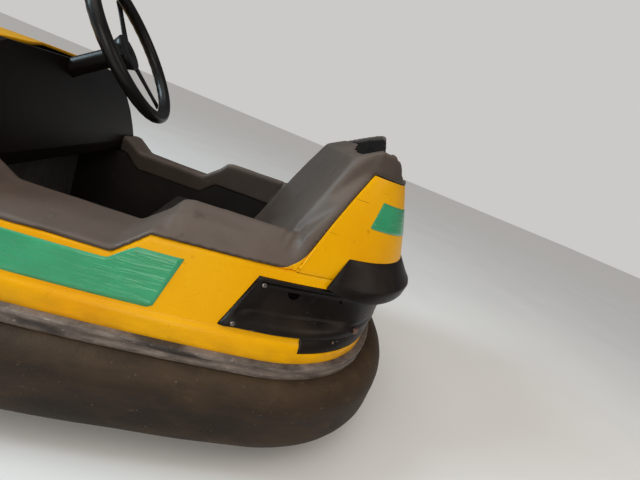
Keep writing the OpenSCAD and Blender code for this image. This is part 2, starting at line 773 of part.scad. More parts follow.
// The black frame round the tail under the lip: a channel open to the outside
module tail_housing() {
    sill = recess_sill;
    side_u = [-0.5, 0, step_u + 0.005];
    low_u = step_u + 0.03;
    places = concat([for (u = side_u) [u, sill]], [[low_u, recess_low]],
        [for (k = [1:crown_n - 1]) [k, recess_low]], [[crown_n - low_u, recess_low]],
        [for (j = [2:-1:0]) [crown_n - side_u[j], sill]]);
    front = [for (p = channel_section(0, sill)) front_u(p[2])];
    color(black) difference() {
        stack(concat([channel_section(0, sill, front)],
            [for (p = places) channel_section(p[0], p[1])],
            [channel_section(0, sill, [for (u = front) crown_n - u])]));
        both_sides() {
            cable_hole();
            for (s = [-0.5, 0.5]) lamp_screw(s * lamp_screw_x);
        }
    }
}

lamp_place = [-recess_front - 120, 0, (recess_sill + recess_top) / 2];

module cable_hole() {
    translate([lamp_place[0] + 10, 300, lamp_place[2] + 14]) rotate([-90, 0, 0])
        cylinder(r = cable_hole_r, h = 300);
}

module lamp_screw(dx) {
    translate([lamp_place[0] + dx, 300, lamp_place[2] - 8]) rotate([-90, 0, 0])
        cylinder(r = lamp_screw_r, h = 300);
}

lip_gap = 2.5 * run_gap;

// The black lip round the tail, over the recess: its ends slant
module tail_lip() {
    // columns: distance inwards, height, how far the end slants back
    section = [[-lip_gap, lip_top, 0.6], [-lip_out * 0.75, lip_mid + 6, 0.3],
        [-lip_out, lip_mid - 4, 0.25], [-lip_out, lip_mid - lip_edge + 6, 0.05],
        [-lip_out * 0.8, lip_mid - lip_edge, 0], [-lip_gap, recess_top + 0.5, 0.1],
        [-lip_gap, waist_z, 0.3]];
    last = crown_n - lip_u;
    whole = ceil(lip_u);
    color(black) stack([for (u = concat([lip_u], [for (k = [whole:crown_n - whole]) k], [last]))
        [for (s = section) sunk(u + (u == lip_u ? s[2] : u == last ? -s[2] : 0), s[1], s[0])]]);
}

module lamp_axis(s) {
    translate([lamp_x, s * lamp_y, lamp_z]) rotate([0, 90, 0]) children();
}

module head_lamp(s) {
    color("#c9c6c2") lamp_axis(s) difference() {
        union() {
            translate([0, 0, -lamp_len]) cylinder(r = lamp_r - 6.5, h = lamp_len);
            translate([0, 0, -6]) cylinder(r = lamp_r, h = 10);
        }
        translate([0, 0, 6 - lamp_len]) cylinder(r = lamp_r - 12, h = lamp_len);
    }
}

module lamp_lens(s) {
    color("#f4f2ea") lamp_axis(s) {
        translate([0, 0, -8]) cylinder(r = lamp_r - 12.3, h = 8);
        intersection() {
            translate([0, 0, -lamp_r]) sphere(r = lamp_r * 1.25);
            cylinder(r = lamp_r - 12.3, h = 20);
        }
    }
}

module head_lamp_left() { head_lamp(1); }
module head_lamp_right() { head_lamp(-1); }
module lamp_lens_left() { lamp_lens(1); }
module lamp_lens_right() { lamp_lens(-1); }

// Draws along the column: z runs from the steering wheel's centre down to the front
module column_axis() {
    translate([steer_x, 0, steer_z]) rotate([0, 90 + column_tilt, 0]) children();
}

shaft_end = (drive_x - 18 - steer_x) / cos(column_tilt);
column_top = 58;
column_bore = 2 * shaft_end;
bracket_at = 350;
bracket_t = 8;
bracket_l = 40;

module column_tube() {
    color(black) column_axis() difference() {
        translate([0, 0, column_top]) cylinder(r = column_r, h = shaft_end - column_top - 60);
        translate([0, 0, column_top - 1]) cylinder(r = shaft_r + run_gap, h = shaft_end);
    }
}

module column_bracket() {
    x = steer_x + bracket_at * cos(column_tilt);
    z = steer_z - bracket_at * sin(column_tilt);
    color(steel) difference() {
        union() {
            both_sides() translate([x - bracket_l / 2, column_r - 4, head_z + head_t])
                cube([bracket_l, bracket_t, z - head_z - head_t]);
            column_axis() translate([0, 0, bracket_at - bracket_l / 2])
                cylinder(r = column_r + bracket_t, h = bracket_l);
        }
        column_axis() cylinder(r = column_r + run_gap / 3, h = column_bore, center = true);
    }
}

module pedal() {
    x = bulkhead_x - 110;
    color(steel) translate([x, -110, floor_z + 2]) {
        cube([60, 70, 5]);
        translate([4, 10, 5]) cube([12, 50, 16]);
        translate([6, 0, 19]) rotate([0, -38, 0]) cube([96, 70, 6]);
    }
}

module steering_rim() {
    color("#101010") column_axis() rotate_extrude($fn = 96) translate([rim_r, 0]) circle(d = rim_d);
}

hub_r = 46;
spoke_w = 30;

module steering_spider() {
    color("#161514") column_axis() difference() {
        union() {
            translate([0, 0, 8]) cylinder(r1 = hub_r, r2 = hub_r - 10, h = 34);
            for (a = [0, 120, 240]) rotate([0, 0, a])
                translate([hub_r - 8, -spoke_w / 2, 10]) cube([rim_r - hub_r + 8, spoke_w, 7]);
        }
        rotate_extrude($fn = 96) translate([rim_r, 0]) circle(d = rim_d);
        translate([0, 0, 20]) cylinder(r = shaft_r, h = 40);
    }
}

module steering_shaft() {
    color(steel) column_axis() {
        translate([0, 0, 20]) cylinder(r = shaft_r, h = shaft_end - 20);
        translate([0, 0, shaft_end - 40]) cylinder(r = shaft_r + 8, h = 40);
    }
}

fork_gap = drive_tyre_w / 2 + 8;
fork_z = head_z - bearing_flange - 1;

module drive_fork() {
    color(steel) translate([drive_x, 0, 0]) difference() {
        union() {
            translate([0, 0, fork_z - fork_t]) cylinder(r = fork_plate_r, h = fork_t);
            translate([0, 0, fork_z - fork_t]) cylinder(r = spindle_r, h = 60 + fork_t);
            translate([0, 0, fork_z]) cylinder(r = shaft_r + 8, h = 150);
            for (s = [-1, 1]) translate([0, s * (fork_gap + fork_t / 2) + fork_t / 2, 0])
                rotate([90, 0, 0]) linear_extrude(fork_t)
                    polygon([[-70, fork_z - 1], [70, fork_z - 1],
                        [26, wheel_r - 26], [-26, wheel_r - 26]]);
        }
        translate([0, 0, wheel_r]) rotate([90, 0, 0])
            cylinder(r = axle_r + run_gap, h = 400, center = true);
    }
}

module motor_axis() {
    translate([drive_x, fork_gap + fork_t, wheel_r + 6]) rotate([-90, 0, 0]) children();
}

module drive_motor() {
    color("#4a4d4f") motor_axis() difference() {
        union() {
            cylinder(r = motor_r, h = motor_len);
            translate([0, 0, 18]) cylinder(r = motor_r + 4, h = 12);
            translate([0, 0, motor_len - 30]) cylinder(r = motor_r + 4, h = 12);
        }
        translate([0, 6, -1]) cylinder(r = axle_r + 4, h = 20);
    }
}

module wheel_rim(w, bore) {
    rotate([90, 0, 0]) difference() {
        cylinder(r = wheel_r - tyre_t, h = w, center = true, $fn = 96);
        for (s = [-1, 1]) translate([0, 0, s * w / 2])
            rotate_extrude() translate([bore + 12, -8]) square([wheel_r - tyre_t - bore - 24, 16]);
        cylinder(r = bore, h = w + 2, center = true);
    }
}

module wheel_tyre(w) {
    rotate([90, 0, 0]) rotate_extrude($fn = 96) {
        translate([wheel_r - tyre_t, -w / 2]) square([tyre_t - 6, w]);
        translate([wheel_r - 6, -w / 2 + 6]) square([6, w - 12]);
        for (s = [-1, 1]) translate([wheel_r - 6, s * (w / 2 - 6)]) circle(6, $fn = 32);
    }
}

module drive_rim() {
    color("#77716c") translate([drive_x, 0, wheel_r]) {
        wheel_rim(drive_tyre_w - 6, axle_r);
        rotate([90, 0, 0]) cylinder(r = axle_r, h = 2 * (fork_gap + fork_t + 6), center = true);
    }
}

module drive_tyre() {
    color("#1e1c1b") translate([drive_x, 0, wheel_r]) wheel_tyre(drive_tyre_w);
}

module rear_place(s) {
    translate([-axle_back, s * rear_wheel_y, wheel_r]) children();
}

module rear_rim(s) { color("#77716c") rear_place(s) wheel_rim(rear_tyre_w - 6, axle_r + run_gap); }
module rear_tyre(s) { color("#1e1c1b") rear_place(s) wheel_tyre(rear_tyre_w); }
module rear_rim_left() { rear_rim(1); }
module rear_rim_right() { rear_rim(-1); }
module rear_tyre_left() { rear_tyre(1); }
module rear_tyre_right() { rear_tyre(-1); }

bumper_tube();
bumper_rail();
steel_ring();
chassis_frame();
rear_axle();
head_bearing();
lower_shell();
tail_shell();
nose_shell();
tail_housing();
tail_lip();
backrest_cap();
backrest_pad();
arm_pad_left();
arm_pad_right();
liner_left();
liner_right();
floor_pan();
seat_box();
seat_cushion();
dashboard();
head_lamp_left();
head_lamp_right();
lamp_lens_left();
lamp_lens_right();
column_tube();
column_bracket();
pedal();
steering_rim();
steering_spider();
steering_shaft();
drive_fork();
drive_motor();
drive_rim();
drive_tyre();
rear_rim_left();
rear_tyre_left();
rear_rim_right();
rear_tyre_right();
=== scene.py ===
# %% [markdown]
# # Dressing a bumper car
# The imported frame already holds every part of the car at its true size. This lesson puts
# real surfaces over it: smooth moulded shells, a soft ring, padded arms, a torn cap and
# the wear of many seasons. The frame comes first, because everything is fitted to it.

# %% Load the frame
import math
import bmesh
import bpy
from mathutils import Matrix, Vector, noise
from mathutils.bvhtree import BVHTree


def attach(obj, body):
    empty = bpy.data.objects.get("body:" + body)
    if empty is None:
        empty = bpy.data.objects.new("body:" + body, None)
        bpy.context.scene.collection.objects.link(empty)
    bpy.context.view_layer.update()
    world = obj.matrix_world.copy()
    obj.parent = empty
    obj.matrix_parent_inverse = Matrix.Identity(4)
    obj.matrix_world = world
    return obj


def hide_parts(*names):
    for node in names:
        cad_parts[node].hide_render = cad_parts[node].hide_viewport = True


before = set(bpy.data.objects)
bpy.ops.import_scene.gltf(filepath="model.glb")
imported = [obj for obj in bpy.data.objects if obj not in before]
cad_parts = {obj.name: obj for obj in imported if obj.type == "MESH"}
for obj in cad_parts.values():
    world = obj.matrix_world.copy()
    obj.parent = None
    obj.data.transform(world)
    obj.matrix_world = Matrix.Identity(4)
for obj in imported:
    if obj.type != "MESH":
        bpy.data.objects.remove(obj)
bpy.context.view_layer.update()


def put(name, data):
    """Adds an object that shows the data."""
    made = bpy.data.objects.new(name, data)
    bpy.context.collection.objects.link(made)
    return made


# %% [markdown]
# ## The camera
# The photograph was taken from behind the car's left side, a little above the seat, with
# the camera held at a tilt. Three directions fix that: where it looks, what is right and
# what is up. Making the directions square to each other by cross products keeps the
# picture free of shear.

# %% Camera
EYE = (-0.395, 1.168, 0.713)
LOOK = Vector((-0.2104, -0.945, -0.2465)).normalized()
UP_HINT = Vector((0.3266, -0.307, 0.8943))
across = LOOK.cross(UP_HINT).normalized()
upward = across.cross(LOOK)
camera_data = bpy.data.cameras.new("view_camera")
camera_data.sensor_width = 36
camera_data.lens = 20.42
camera_data.clip_start = 0.01
camera = put("view_camera", camera_data)
camera.matrix_world = Matrix([(across[i], upward[i], -LOOK[i], EYE[i]) for i in range(3)]
                             + [(0, 0, 0, 1)])
bpy.context.scene.camera = camera
bpy.context.scene.view_settings.view_transform = "Standard"
print("camera at", EYE)

# %% [markdown]
# ## Node helpers
# A finish on a worn machine is never one colour. Each material here mixes two or three
# colours by noise that is measured in metres on the car, and lets the same noise change
# the roughness and raise a little relief. A small class keeps a material's nodes and the
# colour it has so far, so that each stain is one line.


# %% Node helpers
def add_node(tree, kind, inputs=(), **settings):
    node = tree.nodes.new(kind)
    for key, value in settings.items():
        setattr(node, key, value)
    for key, value in dict(inputs).items():
        socket = node.inputs[key]
        if isinstance(value, bpy.types.NodeSocket):
            tree.links.new(value, socket)
        else:
            socket.default_value = value
    return node


def mixed(tree, amount, first, second):
    """The first colour where amount is 0 and the second where it is 1."""
    node = add_node(tree, "ShaderNodeMix", data_type="RGBA")
    for index, value in ((0, amount), (6, first), (7, second)):
        if isinstance(value, bpy.types.NodeSocket):
            tree.links.new(value, node.inputs[index])
        else:
            node.inputs[index].default_value = value if index == 0 else (*value, 1)
    return node.outputs[2]


class Finish:
    """A material while it is made, with the colour that it has so far."""

    def __init__(self, name, **shader_values):
        self.material = bpy.data.materials.new(name)
        self.material.use_nodes = True
        self.tree = self.material.node_tree
        self.shader = self.tree.nodes["Principled BSDF"]
        for key, value in shader_values.items():
            self.shader.inputs[key.replace("_", " ")].default_value = value
        self.place = self.add("ShaderNodeTexCoord").outputs["Object"]
        self.colour = None
        print("finish", name)

    def add(self, kind, inputs=(), **settings):
        return add_node(self.tree, kind, inputs, **settings)

    def feed(self, value, name):
        self.tree.links.new(value, self.shader.inputs[name])

    def span(self, value, low, high, to=(0, 1)):
        """Takes low and high to both ends of the span to, and stays there beyond."""
        return self.add("ShaderNodeMapRange", {
            "Value": value, "From Min": low, "From Max": high,
            "To Min": to[0], "To Max": to[1]}).outputs[0]

    def patches(self, scale, low=0.4, high=0.6, stretch=(1, 1, 1), detail=4, rough=0.55):
        """Noise cut off below low and above high; scale is in spots per metre."""
        mapped = self.add("ShaderNodeMapping", {"Vector": self.place, "Scale": stretch})
        cloud = self.add("ShaderNodeTexNoise", {
            "Vector": mapped.outputs[0], "Scale": scale, "Detail": detail, "Roughness": rough})
        return self.span(cloud.outputs["Fac"], low, high)

    def upwards(self, vector):
        return self.add("ShaderNodeSeparateXYZ", {"Vector": vector}).outputs["Z"]

    def lower(self, low, high):
        """1 at the height low and 0 at the height high."""
        return self.span(self.upwards(self.place), high, low)

    def facing_up(self, low, high):
        """1 where the surface faces up, for dust that settles from above; with low above high it
        is 1 on upright faces instead, for the pads' painted shade.
        """
        return self.span(self.upwards(self.add("ShaderNodeNewGeometry").outputs["Normal"]),
                         low, high)

    def times(self, a, b):
        return self.add("ShaderNodeMath", {0: a, 1: b}, operation="MULTIPLY",
                        use_clamp=True).outputs[0]

    def paint(self, amount, first, second):
        self.colour = mixed(self.tree, amount, first, second)
        self.feed(self.colour, "Base Color")

    def stain(self, mask, share, colour):
        """Lays a share of a colour over the one so far, where the mask is 1."""
        self.paint(self.times(mask, share), self.colour, colour)

    def relief(self, height, depth, strength=1.0):
        """Adds bump on top of what the shader has already."""
        before = self.shader.inputs["Normal"].links
        node = self.add("ShaderNodeBump", {
            "Height": height, "Distance": depth, "Strength": strength})
        if before:
            self.tree.links.new(before[0].from_socket, node.inputs["Normal"])
        self.feed(node.outputs[0], "Normal")


# %% [markdown]
# ## One recipe for most finishes
# Rubber, steel, moulded plastic and paint differ in colour, gloss and grain, but they
# wear alike: a base colour drifts in wide patches, dirt gathers in small ones, and fine
# grain catches the light. So one recipe takes these as numbers, and the finishes that
# need more, such as scratches or dust, add it afterwards.


# %% The common recipe
def worn_finish(name, base, drift, dirt, share, rough, sizes, grain, stretch=(1, 1, 1),
                **shader_values):
    """Sizes are the spots per metre of drift and dirt, grain those of the relief and its depth."""
    coat = Finish(name, **shader_values)
    wide = coat.patches(sizes[0], 0.3, 0.7, stretch)
    spots = coat.patches(sizes[1], 0.62 - share, 0.8, stretch, 6, 0.65)
    coat.paint(wide, base, drift)
    coat.paint(spots, coat.colour, dirt)
    coat.feed(coat.span(spots, 0, 1, rough), "Roughness")
    coat.relief(coat.patches(grain[0], 0.3, 0.7, stretch, 3), grain[1])
    return coat


# %% [markdown]
# ## The yellow shell
# Coloured gel over glass fibre is glossy, with a clear coat that reflects the room. It is
# brightest on the sides, turns orange-brown where grime sits low on the shell, and holds
# a few short dark scratches that run along the car.

# %% Yellow gel coat
yellow = worn_finish(
    "yellow_gelcoat", (0.95, 0.485, 0.0), (0.87, 0.375, 0.0), (0.58, 0.22, 0.0), share=-0.02,
    rough=(0.34, 0.55), sizes=(3.5, 40), grain=(260, 0.0002), Coat_Weight=0.12,
    Coat_Roughness=0.2, Specular_IOR_Level=0.1)
grime = yellow.times(yellow.lower(0.245, 0.30), yellow.patches(18, 0.3, 0.75, (1, 1, 2.5), 6))
yellow.stain(grime, 0.55, (0.30, 0.135, 0.012))
scratches = yellow.patches(30, 0.735, 0.76, (0.25, 0.25, 9), 2)
yellow.stain(scratches, 0.7, (0.16, 0.07, 0.005))

# %% [markdown]
# ## The grey pads
# The pads are one foamed moulding with a leathery skin. The skin is a dark warm grey
# that scuffs lighter on the edges and is polished a little where hands and arms rub it.
# Its upright faces are darker than the tops by painted shade. A fine cell pattern
# gives the leather grain.

# %% Pad skin
pad_skin = worn_finish(
    "pad_skin", (0.104, 0.076, 0.060), (0.140, 0.103, 0.082), (0.060, 0.043, 0.034), share=0.02,
    rough=(0.50, 0.72), sizes=(5, 22), grain=(700, 0.00012), Specular_IOR_Level=0.40)
# painted shade: the pads' upright faces are made darker than their tops
pad_skin.stain(pad_skin.facing_up(0.55, 0.05), 0.72, (0.033, 0.024, 0.018))
scuffs = pad_skin.times(pad_skin.patches(60, 0.6, 0.72, (1, 1, 1), 8, 0.7),
                        pad_skin.patches(7, 0.45, 0.6))
pad_skin.stain(scuffs, 0.5, (0.21, 0.19, 0.18))
cells = pad_skin.add("ShaderNodeTexVoronoi", {"Vector": pad_skin.place, "Scale": 420.0},
                     feature="DISTANCE_TO_EDGE")
pad_skin.relief(cells.outputs["Distance"], 0.0003, 0.35)

# %% [markdown]
# ## Black mouldings, ring, rail and steel
# The recess and lip are black plastic with a brown haze of dust and light scratches. The
# ring is dark rubber with dust on top. The rail is bare grey metal with the dirt of
# bumps worked into it, streaked along its length. The rest follows the plain recipe.

# %% Dark finishes
black_moulding = worn_finish(
    "black_moulding", (0.0045, 0.0030, 0.0024), (0.0085, 0.0058, 0.0045), (0.028, 0.0185, 0.0135),
    share=-0.03, rough=(0.38, 0.66), sizes=(8, 45), grain=(320, 0.00015), Specular_IOR_Level=0.2)
marks = black_moulding.times(black_moulding.patches(42, 0.69, 0.715, (1, 1, 6), 3),
                             black_moulding.lower(0.31, 0.36))
black_moulding.stain(marks, 0.7, (0.24, 0.19, 0.155))
haze = black_moulding.times(black_moulding.facing_up(0.1, 0.7),
                            black_moulding.patches(12, 0.35, 0.7, (1, 1, 1), 6))
black_moulding.stain(haze, 0.25, (0.075, 0.050, 0.034))

ring_rubber = worn_finish(
    "ring_rubber", (0.027, 0.0150, 0.0080), (0.050, 0.0285, 0.0140), (0.088, 0.056, 0.030),
    share=0.03, rough=(0.6, 0.9), sizes=(5, 20), grain=(180, 0.0006), stretch=(1, 1, 2.4),
    Specular_IOR_Level=0.25)
dust = ring_rubber.times(ring_rubber.facing_up(0.35, 0.95),
                         ring_rubber.patches(9, 0.25, 0.7, (1, 1, 1), 6))
ring_rubber.stain(dust, 0.55, (0.105, 0.064, 0.029))

worn_rail = worn_finish(
    "worn_rail", (0.150, 0.117, 0.100), (0.300, 0.243, 0.205), (0.024, 0.017, 0.014), share=0.20,
    rough=(0.42, 0.75), sizes=(16, 22), grain=(240, 0.0006), stretch=(0.7, 0.7, 3), Metallic=0.25)

# streaks, stains and specks of the ring, then smears and specks of the rail
for coat, spots, share, colour in (
        (ring_rubber, (10, 0.5, 0.72, (1, 1, 6), 5), 0.5, (0.012, 0.008, 0.006)),
        (ring_rubber, (4.5, 0.50, 0.63, (1, 1, 1.6), 8), 0.6, (0.010, 0.0068, 0.0045)),
        (ring_rubber, (110, 0.68, 0.72, (1, 1, 1), 4), 0.5, (0.17, 0.125, 0.085)),
        (worn_rail, (7, 0.50, 0.62, (1, 1, 7), 7), 0.8, (0.020, 0.014, 0.012)),
        (worn_rail, (95, 0.64, 0.69, (1, 1, 2), 4), 0.55, (0.40, 0.34, 0.30))):
    coat.stain(coat.patches(*spots), share, colour)

dull_steel = worn_finish(
    "dull_steel", (0.060, 0.058, 0.056), (0.090, 0.083, 0.076), (0.120, 0.062, 0.034), share=0.0,
    rough=(0.45, 0.8), sizes=(7, 26), grain=(300, 0.0004), Metallic=0.3)
# partly painted shade: near-black for the shells' raw inside, the liners and the seat box, with
# the shade of the cockpit and the tail hollow painted in
lining_and_painted_shade = worn_finish(
    "lining_and_painted_shade", (0.011, 0.0088, 0.0075), (0.018, 0.014, 0.0115), (0.034, 0.027, 0.022),
    share=-0.02, rough=(0.65, 0.9), sizes=(6, 30), grain=(420, 0.0004), Specular_IOR_Level=0.25)
# painted shade: near-black torn foam for the faces inside the tail hollow
torn_foam_and_shade = worn_finish(
    "torn_foam_and_shade", (0.012, 0.0095, 0.0085), (0.024, 0.019, 0.0165), (0.055, 0.045, 0.038),
    share=-0.04, rough=(0.85, 1.0), sizes=(18, 60), grain=(160, 0.0012), Specular_IOR_Level=0.15)
worn_floor = worn_finish(
    "worn_floor", (0.30, 0.29, 0.275), (0.22, 0.205, 0.19), (0.075, 0.060, 0.048), share=0.05,
    rough=(0.38, 0.75), sizes=(9, 24), grain=(220, 0.0003), Metallic=0.75)
gloss_black = worn_finish(
    "gloss_black", (0.008, 0.0075, 0.0075), (0.012, 0.011, 0.011), (0.030, 0.027, 0.024),
    share=-0.05, rough=(0.32, 0.55), sizes=(10, 60), grain=(500, 0.0001), Specular_IOR_Level=0.3)
tyre_rubber = worn_finish(
    "tyre_rubber", (0.021, 0.019, 0.018), (0.032, 0.029, 0.027), (0.085, 0.072, 0.060), share=0.0,
    rough=(0.6, 0.9), sizes=(12, 40), grain=(300, 0.0004))
rim_steel = worn_finish(
    "rim_steel", (0.27, 0.255, 0.24), (0.20, 0.185, 0.17), (0.10, 0.055, 0.03), share=0.02,
    rough=(0.35, 0.7), sizes=(10, 34), grain=(260, 0.0002), Metallic=0.8)
lamp_chrome = worn_finish(
    "lamp_chrome", (0.72, 0.71, 0.70), (0.60, 0.585, 0.57), (0.24, 0.20, 0.17), share=-0.08,
    rough=(0.24, 0.42), sizes=(9, 50), grain=(200, 0.00005), Metallic=1.0)
# painted shade: near-black stands in for the shade inside the holes
painted_hole_shade = worn_finish(
    "painted_hole_shade", (0.0012, 0.001, 0.0009), (0.002, 0.0016, 0.0014), (0.004, 0.003, 0.0026),
    share=-0.05, rough=(0.95, 1.0), sizes=(20, 80), grain=(160, 0.0002), Specular_IOR_Level=0.05)
seat_skin = worn_finish(
    "seat_skin", (0.030, 0.026, 0.024), (0.045, 0.039, 0.035), (0.075, 0.065, 0.057), share=-0.02,
    rough=(0.5, 0.75), sizes=(7, 30), grain=(620, 0.00015), Specular_IOR_Level=0.35)
rusty = worn_finish(
    "rusty_clip", (0.20, 0.125, 0.095), (0.13, 0.072, 0.05), (0.06, 0.03, 0.018), share=0.03,
    rough=(0.6, 0.9), sizes=(60, 150), grain=(400, 0.0004))
zinc_screw = worn_finish(
    "zinc_screw", (0.26, 0.235, 0.215), (0.17, 0.14, 0.12), (0.11, 0.06, 0.035), share=0.03,
    rough=(0.3, 0.65), sizes=(60, 150), grain=(400, 0.0001), Metallic=0.85)

# %% [markdown]
# ## Green film and lamp glass
# The green flashes are stuck-on film: a saturated green under a clear gloss, slightly
# creased. The lamps have moulded glass with ribs, which needs transmission and glass's
# refractive index.

# %% Green film and glass
green_film = worn_finish(
    "green_film", (0.040, 0.40, 0.178), (0.030, 0.31, 0.135), (0.020, 0.17, 0.085), share=-0.02,
    rough=(0.25, 0.5), sizes=(10, 50), grain=(200, 0.0002), Coat_Weight=0.3, Coat_Roughness=0.15)
green_film.relief(green_film.patches(14, 0.42, 0.6, (0.6, 0.6, 7), 2), 0.0012, 0.5)

lamp_glass = Finish("lamp_glass", Transmission_Weight=0.92, IOR=1.46)
haze = lamp_glass.patches(30, 0.4, 0.7)
lamp_glass.paint(haze, (0.93, 0.94, 0.92), (0.80, 0.80, 0.76))
lamp_glass.feed(lamp_glass.span(haze, 0, 1, (0.06, 0.22)), "Roughness")
ribs = lamp_glass.add("ShaderNodeTexWave", {"Vector": lamp_glass.place, "Scale": 26.0},
                      bands_direction="Y")
lamp_glass.relief(ribs.outputs["Fac"], 0.0015, 0.8)

# %% [markdown]
# ## From curve to mesh
# Most pieces are skins that follow the car's plan: a grid of points, with columns that
# run round the car and rows that run up it. The helpers turn such a grid, which is in
# millimetres, into a mesh with a finish, say which body it rides on and which CAD parts it
# stands for, and give it a wall and soft edges. The last four shape the soft pieces, which
# start as solids.


# %% Mesh helpers
MM = 0.001


def claim(piece, body="body", stands_for=()):
    """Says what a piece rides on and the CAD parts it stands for."""
    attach(piece, body)
    if stands_for:
        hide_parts(*stands_for)


def mesh_of(name, points, faces):
    """A mesh in metres of points in millimetres."""
    mesh = bpy.data.meshes.new(name)
    mesh.from_pydata([tuple(c * MM for c in p) for p in points], [], faces)
    return mesh


def facing_out(mesh, centre, weld):
    """Turns every face the same way, away from the centre; weld merges points first."""
    work = bmesh.new()
    work.from_mesh(mesh)
    if weld:
        bmesh.ops.remove_doubles(work, verts=work.verts, dist=weld)
    bmesh.ops.recalc_face_normals(work, faces=work.faces)
    middle = Vector(centre)
    lean = sum(f.normal.dot(f.calc_center_median() - middle) * f.calc_area() for f in work.faces)
    if lean < 0:
        bmesh.ops.reverse_faces(work, faces=work.faces)
    work.to_mesh(mesh)
    work.free()


def mesh_piece(name, points, faces, finish, body="body", stands_for=(),
               centre=(0, 0, 0.3), weld=0):
    mesh = mesh_of(name, points, faces)
    mesh.validate()
    mesh.materials.append(finish.material)
    mesh.shade_smooth()
    facing_out(mesh, centre, weld)
    piece = put(name, mesh)
    claim(piece, body, stands_for)
    print("piece", name, "of", len(faces), "faces")
    return piece


def grid_faces(rows, columns, round_rows=False, round_columns=False, keep=None, start=0):
    """Quads over a grid of rows x columns; keep(r, c) says whether a quad is there."""
    faces = []
    for r in range(rows if round_rows else rows - 1):
        for c in range(columns if round_columns else columns - 1):
            if keep is None or keep(r, c):
                r2, c2 = (r + 1) % rows, (c + 1) % columns
                faces.append(tuple(start + k for k in (
                    r * columns + c, r * columns + c2, r2 * columns + c2, r2 * columns + c)))
    return faces


def soften(piece, width, segments=2, angle=50):
    soft = piece.modifiers.new("soft_edges", "BEVEL")
    soft.width = width
    soft.segments = segments
    soft.limit_method = "ANGLE"
    soft.angle_limit = math.radians(angle)


def thicken(piece, thickness, lining=None, dark_rim=False):
    """Gives a skin its wall, inwards, with its own finish inside."""
    wall = piece.modifiers.new("wall", "SOLIDIFY")
    wall.thickness = thickness
    wall.offset = -1
    if lining:
        piece.data.materials.append(lining.material)
        wall.material_offset = 1
    if dark_rim:
        wall.material_offset_rim = 1


def melt(piece, name, size):
    """Turns solids that touch into one closed skin of quads of a size."""
    remesh = piece.modifiers.new(name, "REMESH")
    remesh.mode = "VOXEL"
    remesh.voxel_size = size


def round_off(piece, rounds):
    """Rounds the corners and keeps the shape made so far as the mesh."""
    even = piece.modifiers.new("even", "SMOOTH")
    even.factor = 0.5
    even.iterations = rounds
    piece.data = bpy.data.meshes.new_from_object(
        piece.evaluated_get(bpy.context.evaluated_depsgraph_get()))
    piece.modifiers.clear()


def push_points(piece, push_at):
    """Pushes each point along its normal by push_at(place, normal)."""
    points = piece.data.vertices
    pushed = [v.co + v.normal * push_at(v.co, v.normal) for v in points]
    for v, place in zip(points, pushed):
        v.co = place
    piece.data.shade_smooth()


def solid_of(name, meshes, finish):
    """One object of several closed meshes, with doubled points merged."""
    work = bmesh.new()
    for mesh in meshes:
        work.from_mesh(mesh)
    bmesh.ops.remove_doubles(work, verts=work.verts, dist=1e-6)
    bmesh.ops.recalc_face_normals(work, faces=work.faces)
    made = bpy.data.meshes.new(name)
    work.to_mesh(made)
    work.free()
    made.materials.clear()
    made.materials.append(finish.material)
    return put(name, made)


# %% [markdown]
# ## The car's plan
# Seen from above, the ring, the shell's foot and its waist are all drawn with eight arcs
# that flow into each other: two long sides, four corners, two ends. A column number
# counts round the car, straight across the sides and fanned round the ends, so that the
# same column runs up through every skin.

# %% Plan curves
SIDE, FAN = 6, 11
QUARTER = SIDE + FAN
LOOP = 4 * QUARTER
FAN_X = 540.0
SHELL_Z, WAIST_Z, CROWN_Z = 250.0, 430.0, 686.0
WALL = 8.0
RING_PLAN = (600, 962, 5000, 420, 750)
RAIL_PLAN = (555, 888, 5000, 375, 705)
FOOT_PLAN = (537, 870, 5000, 357, 687)
WAIST_PLAN = (490, 918, 2100, 380, 700)


def lerp(a, b, t):
    return a + (b - a) * t


def plan_arcs(half_w, half_l, side, corner, end):
    a, b = side - corner, end - corner
    side_y, end_x = half_w - side, end - half_l
    d = math.hypot(end_x, side_y)
    k = (a * a - b * b + d * d) / (2 * d)
    h = math.sqrt(a * a - k * k)
    ux, uy = end_x / d, -side_y / d
    cx, cy = k * ux - h * uy, side_y + k * uy + h * ux
    return side_y, cx, cy, end_x, math.asin(-cx / a), math.asin(cy / b)


def circle_hit(ox, dx, dy, cx, cy, r):
    """Where a line from (ox, 0) along (dx, dy) leaves a circle."""
    t = dx * (cx - ox) + dy * cy
    s = t + math.sqrt(r * r - (cx - ox) ** 2 - cy ** 2 + t * t)
    return ox + dx * s, dy * s


def plan_point(plan, column, inset=0.0):
    """The plan's point at a column, in millimetres, moved inwards by inset."""
    v = [k - inset for k in plan]
    side_y, cx, cy, end_x, side_turn, end_turn = plan_arcs(*v)
    k = column % LOOP
    quarter = int(k // QUARTER)
    along = k - quarter * QUARTER
    i = along if quarter % 2 == 0 else QUARTER - along
    ox = -FAN_X * min(i / SIDE, 1)
    angle = math.radians(90 + 90 * max(i - SIDE, 0) / FAN)
    dx, dy = math.cos(angle), math.sin(angle)
    x, y = circle_hit(ox, dx, dy, 0, side_y, v[2])
    if x < -v[2] * math.sin(side_turn):
        x, y = circle_hit(ox, dx, dy, cx, cy, v[3])
        if y < v[4] * math.sin(end_turn):
            x, y = circle_hit(ox, dx, dy, end_x, 0, v[4])
    return (x if quarter in (0, 1) else -x), (y if quarter in (0, 3) else -y)


def inwards(path, column, step=0.05):
    """The direction into the car, square to a path given as a function of the column."""
    a, b = path(column - step), path(column + step)
    dx, dy = b[0] - a[0], b[1] - a[1]
    size = math.hypot(dx, dy) or 1
    return -dy / size, dx / size


